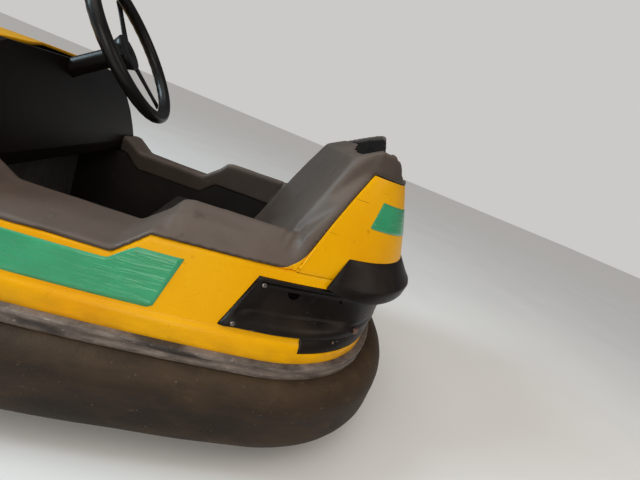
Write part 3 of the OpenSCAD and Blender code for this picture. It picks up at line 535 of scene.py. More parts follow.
def side_point(column, z, inset=0.0):
    """The shell's outside between its foot and its waist."""
    t = (z - SHELL_Z) / (WAIST_Z - SHELL_Z)

    def path(c):
        foot, waist = plan_point(FOOT_PLAN, c), plan_point(WAIST_PLAN, c)
        return lerp(foot[0], waist[0], t), lerp(foot[1], waist[1], t)
    x, y = path(column)
    nx, ny = inwards(path, column)
    return x + nx * inset, y + ny * inset, z


def columns_round(per_section=6, extra=()):
    """Column numbers round the whole car, with extra ones mirrored to every quarter."""
    base = [i / per_section for i in range(QUARTER * per_section)]
    for e in extra:
        base = [b for b in base if abs(b - e) > 0.45 / per_section] + [e]
    base.sort()
    quarters = []
    for q in range(4):
        quarters += [q * QUARTER + (b if q % 2 == 0 else QUARTER - b) for b in base]
    return sorted(set(round(c % LOOP, 5) for c in quarters))


print("ring's corner at column 9", [round(v, 1) for v in plan_point(RING_PLAN, 9)])

# %% [markdown]
# ## The rubber ring
# The ring is a thick rounded tube of rubber that takes every knock. Its section is a
# rectangle with large corners. Sweeping that section round the plan gives the tube, and
# a little noise along it gives the dents and sag of old rubber.

# %% Rubber ring
RING_DEEP, RING_LOW, RING_TOP, RING_ROUND = 130.0, 45.0, 222.0, 62.0


def ring_section(steps=8):
    deep, tall, r = RING_DEEP, RING_TOP - RING_LOW, RING_ROUND
    corners = ((r, r, 180), (deep - r, r, 270), (deep - r, tall - r, 0), (r, tall - r, 90))
    points = []
    for cx, cz, first in corners:
        for j in range(steps + 1):
            a = math.radians(first + 90 * j / steps)
            points.append((cx + r * math.cos(a), cz + r * math.sin(a)))
    return points


def dented(x, y, z, scale, amount):
    """A small smooth push at a place in millimetres, the same on each run."""
    return amount * noise.noise(Vector((x, y, z)) * MM * scale)


def to_middle(x, y, z, push):
    """A point moved level towards the car's middle line."""
    share = 1 - push / math.hypot(x, y)
    return x * share, y * share, z


section = ring_section()
columns = columns_round(4)
points = []
for inset, rise in section:
    for c in columns:
        x, y = plan_point(RING_PLAN, c, inset)
        z = RING_LOW + rise
        points.append(to_middle(x, y, z, dented(x, y, z, 7, 2.2) + 1.6))
mesh_piece("ring_rubber", points, grid_faces(len(section), len(columns), True, True), ring_rubber,
           stands_for=["bumper_tube"])

# %% [markdown]
# ## The rail
# A grey metal rail sits on the ring and carries the shell. Its face has two raised
# strips with dirt between them. The closed section below walks round the rail: over its
# top, down the two strips, and back up behind.

# %% Rail
RAIL_SECTION = [
    (84, 250), (60, 250.4), (30, 250.2), (3.4, 250), (1.2, 249.3), (0, 247.8), (0, 242.4),
    (0.6, 240.2), (2.6, 238.8), (3.2, 237), (3.2, 233.6), (2.4, 231.8), (0.5, 230.6), (0, 229),
    (0, 222.6), (0.8, 220.7), (2.6, 220), (9, 220), (10, 221), (10, 242), (11, 243), (84, 243)]
RAIL_FACE = 9.0  # only the face in front of this is worn
columns = columns_round(6)
points = []
for inset, z in RAIL_SECTION:
    for c in columns:
        x, y = plan_point(RAIL_PLAN, c, inset)
        wear = lift = 0
        if inset < RAIL_FACE:
            wear = dented(x, y, z * 3, 26, 1.0) + dented(x, y, z, 90, 0.5)
            lift = dented(x, y, 0, 12, 0.5)
        points.append(to_middle(x, y, z + lift, wear + 0.6))
rail = mesh_piece("rail", points, grid_faces(len(RAIL_SECTION), len(columns), True, True),
                  worn_rail, stands_for=["bumper_rail"])
soften(rail, 0.0006, 1, 55)

# %% [markdown]
# ## The lower shell
# The yellow skin leans in from its foot to its waist. Near the foot it has a flat band
# with a small step above it. Three things cut it: the dip beside the seats, and round
# the tail the slanted lamp recess. Columns and rows are laid along those cuts, so the
# edges come out clean without any boolean, and faces inside the recess are left out.

# %% Lower shell
RECESS_FRONT, RECESS_RAKE, RECESS_TOP, RECESS_SILL, RECESS_LOW = 413.0, 51.0, 407.0, 299.0, 270.0
RECESS_STEP = SIDE + 7 * FAN / 90
MM_A_COLUMN = FAN_X / SIDE
RECESS_COLUMN = RECESS_FRONT / MM_A_COLUMN
RAKE_COLUMNS, RAKE_REACH = RECESS_RAKE / MM_A_COLUMN, 1.6
RIM_Z, RIM_REAR, RIM_FRONT, RAMP = 382.0, 187.0, 60.0, 53.0
BAND_H, BAND_STEP = 38.0, 5.0


def band_inset(z):
    """How far the skin lies inside the straight wall at a height."""
    band = SHELL_Z + BAND_H
    table = ((SHELL_Z, 0), (band - 2, 0), (band, 1.4), (band + 3, 4.4), (band + 6, BAND_STEP),
             (lerp(band, WAIST_Z, 0.6), BAND_STEP * 0.4), (WAIST_Z, 0))
    for (z0, d0), (z1, d1) in zip(table, table[1:]):
        if z <= z1:
            return lerp(d0, d1, (z - z0) / (z1 - z0))
    return 0.0


def rim_top(x):
    """Height of the shell's top edge beside the cockpit."""
    if -RIM_REAR - RAMP < x < RIM_FRONT + RAMP:
        up = max((-RIM_REAR - x) / RAMP, (x - RIM_FRONT) / RAMP, 0)
        return lerp(RIM_Z, WAIST_Z, min(up, 1))
    return WAIST_Z


def raked(column, z):
    """Slides a column near the recess's front edge back with height."""
    if column >= 2 * QUARTER:
        return column
    i = min(column, 2 * QUARTER - column)
    rise = min(max((z - RECESS_SILL) / (RECESS_TOP - RECESS_SILL), 0), 1)
    slide = RAKE_COLUMNS * rise * max(1 - abs(i - RECESS_COLUMN) / RAKE_REACH, 0)
    # towards the tail on both sides
    return column + slide if column < QUARTER else column - slide


dip_ends = [x / MM_A_COLUMN for x in (RIM_REAR + RAMP, RIM_REAR, RIM_FRONT, RIM_FRONT + RAMP)]
columns = columns_round(6, [RECESS_COLUMN, RECESS_STEP] + dip_ends)
heights = [250, 251.2, 256, 263, 270, 278, 286, 288, 291, 294, 299, 309, 325, 341, 358, 375,
           392, 400, 407, 412, 418, 421, 424, 426.4, 428.2, 429.4, 430]
SHOULDER, DIP_BASE, DIP_REACH = 9.0, 340.0, 300.0
points = []
for z in heights:
    for c in columns:
        at = raked(c, z)
        x = plan_point(WAIST_PLAN, at)[0]
        top = rim_top(x) if abs(x) < DIP_REACH else WAIST_Z
        level = max(z - DIP_BASE, 0) / (WAIST_Z - DIP_BASE) * (top - DIP_BASE) + min(z, DIP_BASE)
        edge = 0.5 if z == SHELL_Z else 0
        if z > WAIST_Z - SHOULDER:
            rise = z - (WAIST_Z - SHOULDER)
            edge = 0.7 * (SHOULDER - math.sqrt(max(SHOULDER ** 2 - rise ** 2, 0)))
        points.append(side_point(at, level, band_inset(level) + edge))


def outside_recess(r, c):
    """False for a quad of the lower shell that the lamp recess takes away."""
    z = (heights[r] + heights[r + 1]) / 2
    c2 = columns[(c + 1) % len(columns)]
    middle = (columns[c] + (c2 if c2 > columns[c] else c2 + LOOP)) / 2
    i = min(middle, 2 * QUARTER - middle)
    start = RECESS_COLUMN if z > RECESS_SILL else RECESS_STEP
    return i <= start or not RECESS_LOW < z < RECESS_TOP


shell = mesh_piece("lower_skin", points,
                   grid_faces(len(heights), len(columns), False, True, outside_recess),
                   yellow, stands_for=["lower_shell"])
thicken(shell, WALL * MM, lining_and_painted_shade)
soften(shell, 0.0016, 3)

# %% [markdown]
# ## The tail
# Behind the seat the shell rises to a high rounded tail. Its foot is the waist curve and
# its top is a full rounded corner shape, a so-called superellipse. Going from one to the
# other with a slight bulge gives the tail its swelling sides.

# %% Tail skin
CROWN_N = 2 * FAN
CROWN = dict(half_w=300.0, front=655.0, rear=824.0, full=1.75)
TAIL_BULGE = 0.05


def crown_point(k):
    t = math.pi * min(max(k, 0), CROWN_N) / CROWN_N
    e = 2 / CROWN["full"]
    c, s = math.cos(t), math.sin(t)
    return (-CROWN["front"] - (CROWN["rear"] - CROWN["front"]) * max(s, 0) ** e,
            CROWN["half_w"] * math.copysign(abs(c) ** e, c))


def tail_point(k, z, inset=0.0):
    g = (z - WAIST_Z) / (CROWN_Z - WAIST_Z)
    t = g - TAIL_BULGE * math.sin(math.pi * g)

    def path(u):
        foot, top = plan_point(WAIST_PLAN, SIDE + u), crown_point(u)
        return lerp(foot[0], top[0], t), lerp(foot[1], top[1], t)
    u = min(max(k, 0.06), CROWN_N - 0.06)
    x, y = path(k)
    nx, ny = inwards(path, u)
    return x + nx * inset, y + ny * inset, z


def rear_point(k, z, inset=0.0):
    """The rear body's outside at any height, moved inwards by inset."""
    if z <= WAIST_Z or k < 0 or k > CROWN_N:
        return side_point(SIDE + k, z, inset)
    return tail_point(k, z, inset)


tail_columns = [CROWN_N * j / 132 for j in range(133)]
tail_heights = [lerp(WAIST_Z, CROWN_Z, j / 20) for j in range(21)]
points = [tail_point(k, z, 0.6 if z in (WAIST_Z, CROWN_Z) else 0)
          for z in tail_heights for k in tail_columns]
tail = mesh_piece("tail_skin", points,
                  grid_faces(len(tail_heights), len(tail_columns), False, True),
                  yellow, stands_for=["tail_shell"], centre=(-0.7, 0, 0.5))
# painted shade: the tail wall's cut rim takes the near-black lining too
thicken(tail, WALL * MM, lining_and_painted_shade, dark_rim=True)
soften(tail, 0.0015)

# %% [markdown]
# ## The nose
# The nose closes the car in front of the dashboard. It starts from the same waist curve
# and shrinks upwards over a few rows. Rows between the given ones come from a smooth
# curve through them, a Catmull-Rom curve, so the nose has no flats.

# %% Nose skin
NOSE_BACK, NOSE_LEAN, NOSE_TOP, NOSE_TIP = 150.0, 50.0, 668.0, 260.0
NOSE_ROWS = [(0, 1, 1), (0.22, 0.96, 0.965), (0.45, 0.88, 0.91), (0.68, 0.73, 0.82),
             (0.86, 0.52, 0.70), (0.96, 0.32, 0.56), (0.995, 0.14, 0.30)]


def through(rows, t):
    """A smooth value through a table of equal rows; t is from 0 to 1."""
    at = t * (len(rows) - 1)
    i = min(int(at), len(rows) - 2)
    f = at - i
    p = [rows[min(max(i + k, 0), len(rows) - 1)] for k in (-1, 0, 1, 2)]
    return [0.5 * (2 * b + (c - a) * f + (2 * a - 5 * b + 4 * c - d) * f * f
                   + (3 * b - a - 3 * c + d) * f ** 3) for a, b, c, d in zip(*p)]


nose_start = NOSE_BACK / MM_A_COLUMN + 0.01
nose_span = [2 * QUARTER + lerp(nose_start, 2 * QUARTER - nose_start, j / 160)
             for j in range(161)]
points, nose_rows = [], 33
for r in range(nose_rows):
    rise, length, width = through(NOSE_ROWS, r / (nose_rows - 1))
    for c in nose_span:
        x, y = plan_point(WAIST_PLAN, c)
        x = NOSE_BACK + NOSE_LEAN * rise + (x - NOSE_BACK) * length
        points.append((x, y * width, lerp(WAIST_Z, NOSE_TOP, rise)))
tip = len(points)
points.append((NOSE_TIP, 0, NOSE_TOP + 1))
faces = grid_faces(nose_rows, len(nose_span))
last = (nose_rows - 1) * len(nose_span)
faces += [(last + c, last + c + 1, tip) for c in range(len(nose_span) - 1)]
nose = mesh_piece("nose_skin", points, faces, yellow, stands_for=["nose_shell"],
                  centre=(0.4, 0, 0.4))
thicken(nose, WALL * MM, lining_and_painted_shade)
soften(nose, 0.002)

# %% [markdown]
# ## The lamp recess
# Under the tail's lip runs a black channel, open to the outside, where a lamp once sat.
# Its section has a frame below and above and a sunk back wall, which comes out almost
# flush round the tail. The channel follows the shell, and its two front ends slant like
# the hole in the shell.

# %% Recess housing
RECESS_DEEP, RECESS_FLUSH, RECESS_FRAME = 26.0, 3.0, 17.0
FADE_FROM, FADE_OVER = 1.2, 2.6


def front_k(z):
    x = RECESS_FRONT + RECESS_RAKE * (z - RECESS_SILL) / (RECESS_TOP - RECESS_SILL)
    return (x - FAN_X) * SIDE / FAN_X


def channel(low, deep):
    """The channel's open section: (distance inwards, height), from the foot up."""
    f, d, top, sill = RECESS_FRAME, deep, RECESS_TOP, RECESS_SILL
    apron = [(4, low), (1, low + 0.5), (-1, low + 2.5), (-1.4, low + 6), (-0.6, sill - 7),
             (1.4, sill - 3)]
    if low == sill:
        apron = [(4, sill - 0.06 + 0.01 * n) for n in range(6)]
    return apron + [
        (1.4, sill + 0.6), (-1, sill + 2.5), (-1.5, sill + 6), (-1.2, sill + f - 5),
        (0.5, sill + f - 1), (min(4, d), sill + f + 3), (max(d - 5, d / 2), sill + f + 10),
        (max(d - 1, d / 2), sill + f + 14), (d, sill + f + 19), (d, lerp(sill + f, top, 0.5)),
        (d, top - f - 14), (max(d - 2, d / 2), top - f - 6), (max(d - 7, d / 2), top - f - 1),
        (min(4, d), top - f + 6), (0.8, top - f + 8), (-0.8, top - f + 11), (-1, top - 4),
        (0.5, top - 1.2), (5, top)]


side_part = [lerp(0.35, RECESS_STEP - SIDE - 0.001, j / 3) for j in range(4)]
tail_part = [lerp(RECESS_STEP - SIDE + 0.001, FAN, j / 84) for j in range(85)]
half = [("front", share) for share in (0, 0.08, 0.25, 0.5, 0.75)]
half += [("at", k) for k in side_part] + [("low", k) for k in tail_part]


def housing_row(kind, value, mirror):
    low = RECESS_LOW if kind == "low" else RECESS_SILL
    fade = min(max((value - FADE_FROM) / FADE_OVER, 0), 1) if kind != "front" else 0
    deep = lerp(RECESS_DEEP, RECESS_FLUSH, fade * fade * (3 - 2 * fade))
    row = []
    for inset, z in channel(low, deep):
        k = lerp(front_k(z) + 0.012, side_part[0], value) if kind == "front" else value
        if kind == "front" and value == 0:
            inset = min(inset, 2) + 2
        elif kind == "front" and value == 0.08:
            inset = min(inset, 0)
        x, y, h = rear_point(k, z, inset)
        row.append((x, -y if mirror else y, h))
    return row


rows = [housing_row(kind, value, False) for kind, value in half]
rows += [housing_row(kind, value, True) for kind, value in reversed(half[:-1])]
points = [p for row in rows for p in row]
housing = mesh_piece("recess_housing", points, grid_faces(len(rows), len(rows[0])),
                     black_moulding, stands_for=["tail_housing"],
                     centre=(-0.5, 0, 0.35))
thicken(housing, 0.004)

# %% [markdown]
# ## The lip
# A black lip stands out over the recess and runs round the tail like a shelf. It is
# highest where it meets the shell, and it thins out to a slanted end on both sides.

# %% Tail lip
LIP_TOP, LIP_MID, LIP_EDGE, LIP_OUT = 484.0, 428.0, 34.0, 36.0
LIP_START, LIP_GROWTH = 11 * FAN / 90, 2.2
LIP_SECTION = [
    (0.5, LIP_TOP, 0.60), (-0.5, LIP_TOP + 0.8, 0.60), (-3, LIP_TOP - 1, 0.59),
    (-10, LIP_TOP - 15, 0.52), (-19, LIP_TOP - 33, 0.42),
    (-LIP_OUT * 0.78, LIP_MID + 6, 0.31), (-LIP_OUT + 3, LIP_MID + 1, 0.28),
    (-LIP_OUT, LIP_MID - 4, 0.25), (-LIP_OUT, LIP_MID - LIP_EDGE + 8, 0.07),
    (-LIP_OUT + 2.5, LIP_MID - LIP_EDGE + 2, 0.02), (-LIP_OUT * 0.78, LIP_MID - LIP_EDGE, 0),
    (-14, RECESS_TOP - 3.5, 0.05), (-0.6, RECESS_TOP + 0.5, 0.1), (0.5, WAIST_Z, 0.3)]
steps = 120
rows = []
for j in range(steps + 1):
    t = j / steps
    row = []
    for inset, z, slant in LIP_SECTION:
        start_k = LIP_START + slant
        k = lerp(start_k, CROWN_N - start_k, t)
        grown = min((min(k, CROWN_N - k) - start_k) / LIP_GROWTH, 1)
        grown = grown * (2 - grown)
        if inset < 0:
            drop = 1.2 if t in (0, 1) else 0
            inset = min(inset * lerp(0.40, 1, grown) + drop, 0.5)
        if z < RECESS_TOP:
            z = lerp(RECESS_TOP + 6, z, max(grown, 0))
        x, y, h = rear_point(k, z, inset)
        row.append((x, y, h))
    rows.append(row)
points = [p for row in rows for p in row]
faces = grid_faces(len(rows), len(rows[0]), False, True)
faces.append(tuple(range(len(rows[0]))))
faces.append(tuple(reversed(range(len(points) - len(rows[0]), len(points)))))
lip = mesh_piece("tail_lip_skin", points, faces, black_moulding, stands_for=["tail_lip"])
soften(lip, 0.0016)

# %% [markdown]
# ## The torn cap
# The same grey skin once closed the tail's top. Over the rear it is torn off, and the
# ragged edge shows the dark hollow behind. The edge's height comes from a short table,
# with finer noise over it for the jagged tear. The wall made here is only a blank: the
# next step melts it into the pads.

# %% Torn cap
CAP_H, CAP_SLOPE, CAP_LEAN = 60.0, 0.6, 0.0007
TORN = [1, 0.87, 0.73, 0.51, 0.24, 0.08, 0.09, 0.06, 0.08, 0.05, 0.07, 0.06, 0.05, 0.07, 0.09,
        0.5, 0.97, 1, 1, 1, 1, 1, 1]


def torn_height(k):
    """Height of the cap's edge over the yellow's top edge, ragged where it is torn."""
    i = min(int(k), CROWN_N - 1)
    share = lerp(TORN[i], TORN[i + 1], k - i)
    whole = CAP_H + CAP_SLOPE * (-crown_point(k)[0] - CROWN["front"])
    torn = min(max((k - 0.4) / 0.8, 0), 1) * min(max((16.5 - k) / 0.6, 0), 1)
    ragged = sum(size * noise.noise(Vector((k * often, seed, 0)))
                 for size, often, seed in ((5.0, 4.1, 0.7), (3.0, 11.3, 2.1)))
    return max(share * whole + torn * ragged, 3.0)


def cap_point(k, h, inset):
    """A point of the cap's outside, h above the yellow's top edge, moved inwards."""
    def path(u):
        x, y = crown_point(u)
        middle = -(CROWN["front"] + CROWN["rear"]) / 2
        return lerp(x, middle, CAP_LEAN * h), y * (1 - CAP_LEAN * h)
    x, y = path(k)
    nx, ny = inwards(path, min(max(k, 0.06), CROWN_N - 0.06))
    return x + nx * inset, y + ny * inset, CROWN_Z + h


cap_columns = [CROWN_N * j / 264 for j in range(265)]
levels = [(0.0, 0), (0.25, 0), (0.5, 0), (0.75, 0), (0.95, 0), (1.0, 1.5), (1.0, 8.5),
          (0.94, 10), (0.6, 10.5), (0.3, 11), (0.0, 12)]
points = []
for part, inset in levels:
    for k in cap_columns:
        curl = 1.6 * noise.noise(Vector((k * 1.7, 5, part * 2))) * part
        points.append(cap_point(k, torn_height(k) * part, inset + max(curl, -0.5 * part)))
cap_mesh = mesh_of("cap_wall", points, grid_faces(len(levels), len(cap_columns), True, True))
print("cap wall of", len(cap_mesh.polygons), "quads")

# %% [markdown]
# ## The pads
# Arms, backrest and cap are one foamed moulding: the rolled tops of the arms turn up into
# the sides of the backrest without a seam. Voxel remeshing melts the solids into one
# closed skin. A ragged hole is cut in the backrest's top, where the skin is torn off, and
# melted in as well. Smoothing rounds the corners as foam does. Faces inside the hollow
# show torn foam, made near-black as painted shade, instead of the skin, apart from a strip along
# the far top.

# %% Pad moulding
TEAR = [(-750, -170), (-712, -188), (-690, -160), (-684, -137), (-668, -100), (-672, -62),
        (-654, -30), (-651, 4), (-633, 30), (-636, 64), (-621, 96), (-623, 150), (-612, 190),
        (-613, 240), (-618, 262), (-660, 262), (-700, 250), (-750, 190)]
TEAR_LOW, TEAR_HIGH = 655, 950
VOXEL = 0.0045
FOLDS = [Vector((-0.512, side * 0.350, 0.492)) for side in (1, -1)]
HOLLOW_X, HOLLOW_FRONT, HOLLOW_LOW, HOLLOW_HALF = -0.73, -0.60, 0.64, 0.29
STRIP = 0.014
PADS = ["arm_pad_left", "arm_pad_right", "backrest_pad"]

n = len(TEAR)
cutter = put("tear_cutter", mesh_of(
    "tear_cutter", [(x, y, z) for z in (TEAR_LOW, TEAR_HIGH) for x, y in TEAR],
    grid_faces(2, n, False, True) + [tuple(reversed(range(n))), tuple(range(n, 2 * n))]))


def pad_push(at, normal):
    """Slow waves of the foam, and two folds where arm and backrest meet."""
    push = 0.0010 * noise.noise(at * 14) + 0.0005
    for fold in FOLDS:
        d = at - fold
        near = max(1 - abs(d.x) / 0.045, 0) * max(1 - d.length / 0.07, 0)
        push += near * (0.0022 * math.sin((d.x + 0.35 * d.z) * 300) - 0.004)
    return push


moulding = solid_of("pad_moulding", [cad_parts[node].data for node in PADS] + [cap_mesh],
                    pad_skin)
melt(moulding, "melt", VOXEL)
tear = moulding.modifiers.new("tear", "BOOLEAN")
tear.operation = "DIFFERENCE"
tear.solver = "FAST"
tear.object = cutter
melt(moulding, "melt_again", VOXEL)
round_off(moulding, 5)
push_points(moulding, pad_push)
bpy.data.objects.remove(cutter)
moulding.data.materials.append(torn_foam_and_shade.material)
# painted shade: faces inside the hollow take the near-black foam
for face in moulding.data.polygons:
    c = face.center
    faces_in = face.normal.dot(Vector((HOLLOW_X - c.x, -c.y, 0))) > 0.02
    crest = (CROWN_Z + CAP_H - CAP_SLOPE * (c.x / MM + CROWN["front"])) * MM
    on_strip = c.y < 0 and c.z > crest - STRIP + 0.006 * noise.noise(Vector((c.y * 30, 0, 1)))
    if (c.x < HOLLOW_FRONT and c.z > HOLLOW_LOW and abs(c.y) < HOLLOW_HALF
            and face.normal.z < 0.7 and faces_in and not on_strip):
        face.material_index = 1
claim(moulding, "body", PADS + ["backrest_cap"])
print("pads of", len(moulding.data.polygons), "quads")

# %% [markdown]
# ## Shell corners
# Where the tail's front edge meets the waist, the yellow runs into a round corner that laps
# over the pad. Its edge is a simple curve between both edges, and each of its points is put
# just outside the pad by shooting a ray at the finished pad. The helper below makes any
# thin closed patch from a function of two shares.

# %% Shell corners
pad_tree = BVHTree.FromPolygons([v.co for v in moulding.data.vertices],
                                [tuple(f.vertices) for f in moulding.data.polygons])
CORNER_R = 62.0
LEFT_AND_RIGHT = ((1, "left"), (-1, "right"))


def patch(name, at, across_n, up_n, layers, finish):
    """A thin closed patch; at(u, v, layer) is a place for u and v from 0 to 1."""
    n, m = across_n + 1, up_n + 1
    points = [at(i / across_n, j / up_n, layer)
              for layer in layers for j in range(m) for i in range(n)]
    faces = grid_faces(m, n) + grid_faces(m, n, start=n * m)
    rim = list(range(n)) + [j * n + n - 1 for j in range(1, m)]
    rim += [up_n * n + i for i in range(n - 2, -1, -1)] + [j * n for j in range(m - 2, 0, -1)]
    faces += [(a, b, b + n * m, a + n * m) for a, b in zip(rim, rim[1:] + rim[:1])]
    mesh_piece(name, points, faces, finish)


def corner_point(side, u, v, depth):
    """From the tail's skin, at u = 0, to just outside the pad on the curved edge."""
    z = WAIST_Z - 1 + (CORNER_R + 1) * v * v
    edge_x, skin, _ = tail_point(0, max(z, WAIST_Z))
    x = lerp(edge_x - 5, edge_x + CORNER_R * (1 - v) ** 2, u)
    hit = pad_tree.ray_cast(Vector((x * MM, side, z * MM)), Vector((0, -side, 0)))[0]
    pad = abs(hit.y) / MM if hit else skin
    return x, side * lerp(skin + depth - 0.9, pad + depth, min(u * 2.5, 1)), z


for side, word in LEFT_AND_RIGHT:
    patch("shell_corner_" + word, lambda u, v, depth: corner_point(side, u, v, depth), 8, 20,
          (1.4, -3.0), yellow)

# %% [markdown]
# ## Green film
# Two flashes of thin green film lie on each side: a long one beside the seat and one round
# the tail. Each is a patch of the skin's own surface, lifted by the film's thickness, with
# lower edges that round up at both ends and the small waves of film laid on by hand.

# %% Green flashes
FILM_LAYERS = (0.7, -0.4)
FLASH_FRONT, FLASH_REAR, FLASH_LOW, FLASH_TOP, FLASH_SLANT = -2.9, 3.47, 300.0, 403.0, 0.31
REAR_SPAN, REAR_LEAN, REAR_LOW, REAR_TOP = (2.34, 9.3), 0.26, (565, 546), (632, 617)


def rounded(u, size, share):
    """How far an edge lifts near both ends of a patch, for round corners."""
    d = max(share - min(u, 1 - u), 0) / share
    return size * (1 - math.sqrt(max(1 - d * d, 0)))


def side_flash(u, v, lift):
    column = lerp(FLASH_REAR, FLASH_FRONT, u)
    high = min(FLASH_TOP, rim_top(plan_point(WAIST_PLAN, column)[0]) - 12)
    z = lerp(FLASH_LOW + rounded(u, 5, 0.02), high, v)
    slant = FLASH_SLANT * (FLASH_TOP - z) / (FLASH_TOP - FLASH_LOW)
    wave = 0.25 * noise.noise(Vector((u * 30, v * 3, 1)))
    return side_point(column + slant * (2 * u - 1), z, band_inset(z) - lift - abs(wave))


def rear_flash(u, v, lift):
    z = lerp(lerp(*REAR_LOW, u) + rounded(u, 2, 0.03), lerp(*REAR_TOP, u), v)
    wave = 0.45 * noise.noise(Vector((u * 2, z * 0.12, 4)))
    return tail_point(lerp(*REAR_SPAN, u) + REAR_LEAN * v, z, -lift - 0.2 - abs(wave))


for side, word in LEFT_AND_RIGHT:
    for name, place_of, across_n, up_n in (("side_flash_", side_flash, 60, 10),
                                           ("rear_flash_", rear_flash, 44, 12)):
        patch(name + word, lambda u, v, lift: Vector((1, side, 1)) * Vector(place_of(u, v, lift)),
              across_n, up_n, FILM_LAYERS, green_film)

# %% [markdown]
# ## Fittings in the recess
# Two screws hold each end of the recess, a half-round cable hole and a small round hole in
# its back wall are thin discs of painted shade, and a rusty clip is all that is left of
# the lamp. Each sits square on the surface under it, found from two nearby points of the same
# skin.


# %% Recess fittings
def seat_frame(k, z, inset, side):
    """Place, along, up and outwards directions of a spot on the rear skin."""
    here = Vector(rear_point(k, z, inset))
    along = (Vector(rear_point(k + 0.02, z, inset)) - here).normalized()
    rise = (Vector(rear_point(k, z + 2, inset)) - here).normalized()
    out = along.cross(rise).normalized()
    if out.dot(Vector((here.x + 300, here.y, 0))) < 0:
        out = -out
    mirror = Vector((1, side, 1))
    return here * mirror, along * mirror, rise * mirror, out * mirror


def circle(radius, n=20, end=360, start=0):
    """Points round a circle; an arc gets one more, so that it closes straight."""
    turns = [math.radians(start + (end - start) * i / n) for i in range(n + (end - start < 360))]
    return [(radius * math.cos(a), radius * math.sin(a)) for a in turns]


def fitting(name, finish, spots):
    """Stacks each outline of (along, up) points in layers of (height, scale) on its spot."""
    points, faces = [], []
    for side in (1, -1):
        for k, z, inset, outline, layers in spots:
            place, along, rise, out = seat_frame(k, z, inset, side)
            start, n = len(points), len(outline)
            points += [place + along * a * scale + rise * b * scale + out * height
                       for height, scale in layers for a, b in outline]
            faces += grid_faces(len(layers), n, False, True, start=start)
            faces += [tuple(range(start, start + n)), tuple(range(len(points) - n, len(points)))]
    mesh_piece(name, points, faces, finish).data.shade_flat()


SCREW = (circle(5.2), [(-0.5, 1), (1.2, 1), (2.2, 0.86), (2.5, 0.6), (1.4, 0.45)])
HALF_MOON = circle(15, 16, 360, 180)
CLIP = [(-9, -7), (9, -7), (9, 7), (-9, 7)]
SMALL_CLIP = [(-4, -3), (4, -3), (3, 3), (-3, 3)]
fitting("recess_screws", zinc_screw, [
    (-0.66, 391, -1.4, *SCREW), (-1.08, 307.5, -1.3, *SCREW)])
# painted shade: thin near-black discs put where the cable hole and the small hole are
fitting("recess_hole_shade_discs", painted_hole_shade, [
    (0.36, 377, 25.6, HALF_MOON, [(-0.2, 1), (0.35, 1), (0.35, 0.97), (0.2, 0.9)]),
    (2.5, 377, 14.0, circle(4.5), [(-0.2, 1), (0.4, 1), (0.3, 0.8)])])
fitting("lamp_clip", rusty, [
    (3.6, 309, -1.0, CLIP, [(-1, 1), (4, 1), (6.5, 0.86), (7, 0.7)]),
    (2.3, 291, 0.2, SMALL_CLIP, [(-1, 1), (1.5, 0.95), (2.2, 0.7)])])

# %% [markdown]
# ## Turned parts
# Tyres, rims, lamps and the steering wheel are all bodies of revolution. One helper turns
# a profile of (distance along the axis, radius) round an axis. The tyres keep to 48 steps
# round, so that all three stay light.


# %% Turning helper
def spun(first, second, radius, n):
    """Steps from a centre to n places round a circle, in the plane of two directions."""
    turns = [2 * math.pi * i / n for i in range(n)]
    return [(first * math.cos(a) + second * math.sin(a)) * radius for a in turns]


def turned(name, profiles, centre, axis, finish, body="body", stands_for=(),
           around=64, extra=None):
    axis, centre = Vector(axis).normalized(), Vector(centre)
    first = Vector((0, 0, 1)) if abs(axis.z) < 0.9 else Vector((1, 0, 0))
    first = (first - axis * first.dot(axis)).normalized()
    second = axis.cross(first)
    points, faces = [], []
    for profile in profiles:
        start = len(points)
        for along, radius in profile:
            points += [centre + axis * along + p for p in spun(first, second, radius, around)]
        faces += grid_faces(len(profile), around, True, True, start=start)
    if extra:
        for corners, sides in extra(axis, first, second):
            start = len(points)
            points += [centre + c for c in corners]
            faces += [tuple(start + i for i in f) for f in sides]
    mesh_piece(name, points, faces, finish, body, stands_for, weld=1e-5)


def wheel_bolts(count, ring, size, faces_at):
    """Hexagon heads on both faces of a rim."""
    def make(axis, first, second):
        made = []
        for face in faces_at:
            out = axis * (4 if face > 0 else -4)
            for hub in spun(first, second, ring, count):
                foot = [hub + axis * face + p for p in spun(first, second, size, 6)]
                ends = [tuple(range(6)), tuple(range(6, 12))]
                made.append((foot + [p + out for p in foot],
                             grid_faces(2, 6, False, True) + ends))
        return made
    return make


# %% [markdown]
# ## Wheels
# The rear wheels turn on a fixed axle, and the drive wheel sits in its fork. The solid
# tyres have rounded shoulders and two grooves, the rims a dished face with bolts.

# %% Wheels
WHEEL_R, TYRE_IN, AXLE_R = 100.0, 76.0, 12.0
AXLE_END = [(-52.9, 0.01), (-52.9, 10.8), (-51.7, 12)]


def both_ends(profile):
    """A profile up to its middle, and the same again mirrored."""
    return profile + [(-along, radius) for along, radius in reversed(profile)]


def tyre_profile(h):
    """The tyre's section, h wide on each side of its middle."""
    return both_ends([(-h, TYRE_IN), (-h - 0.2, 86), (-h + 0.8, 93), (-h + 4, 98), (-h + 9, 99.9),
                      (-9, 100), (-8, 97.5), (-5.5, 97.5), (-4.5, 100)])


def rim_profile(h, bore):
    return both_ends([(-h, bore), (-h, bore + 9), (-h + 2, bore + 12), (-h + 8, bore + 14),
                      (-h + 8, 60), (-h + 3, 63), (-h, 66), (-h, 74), (-h + 1, TYRE_IN - 0.2)])


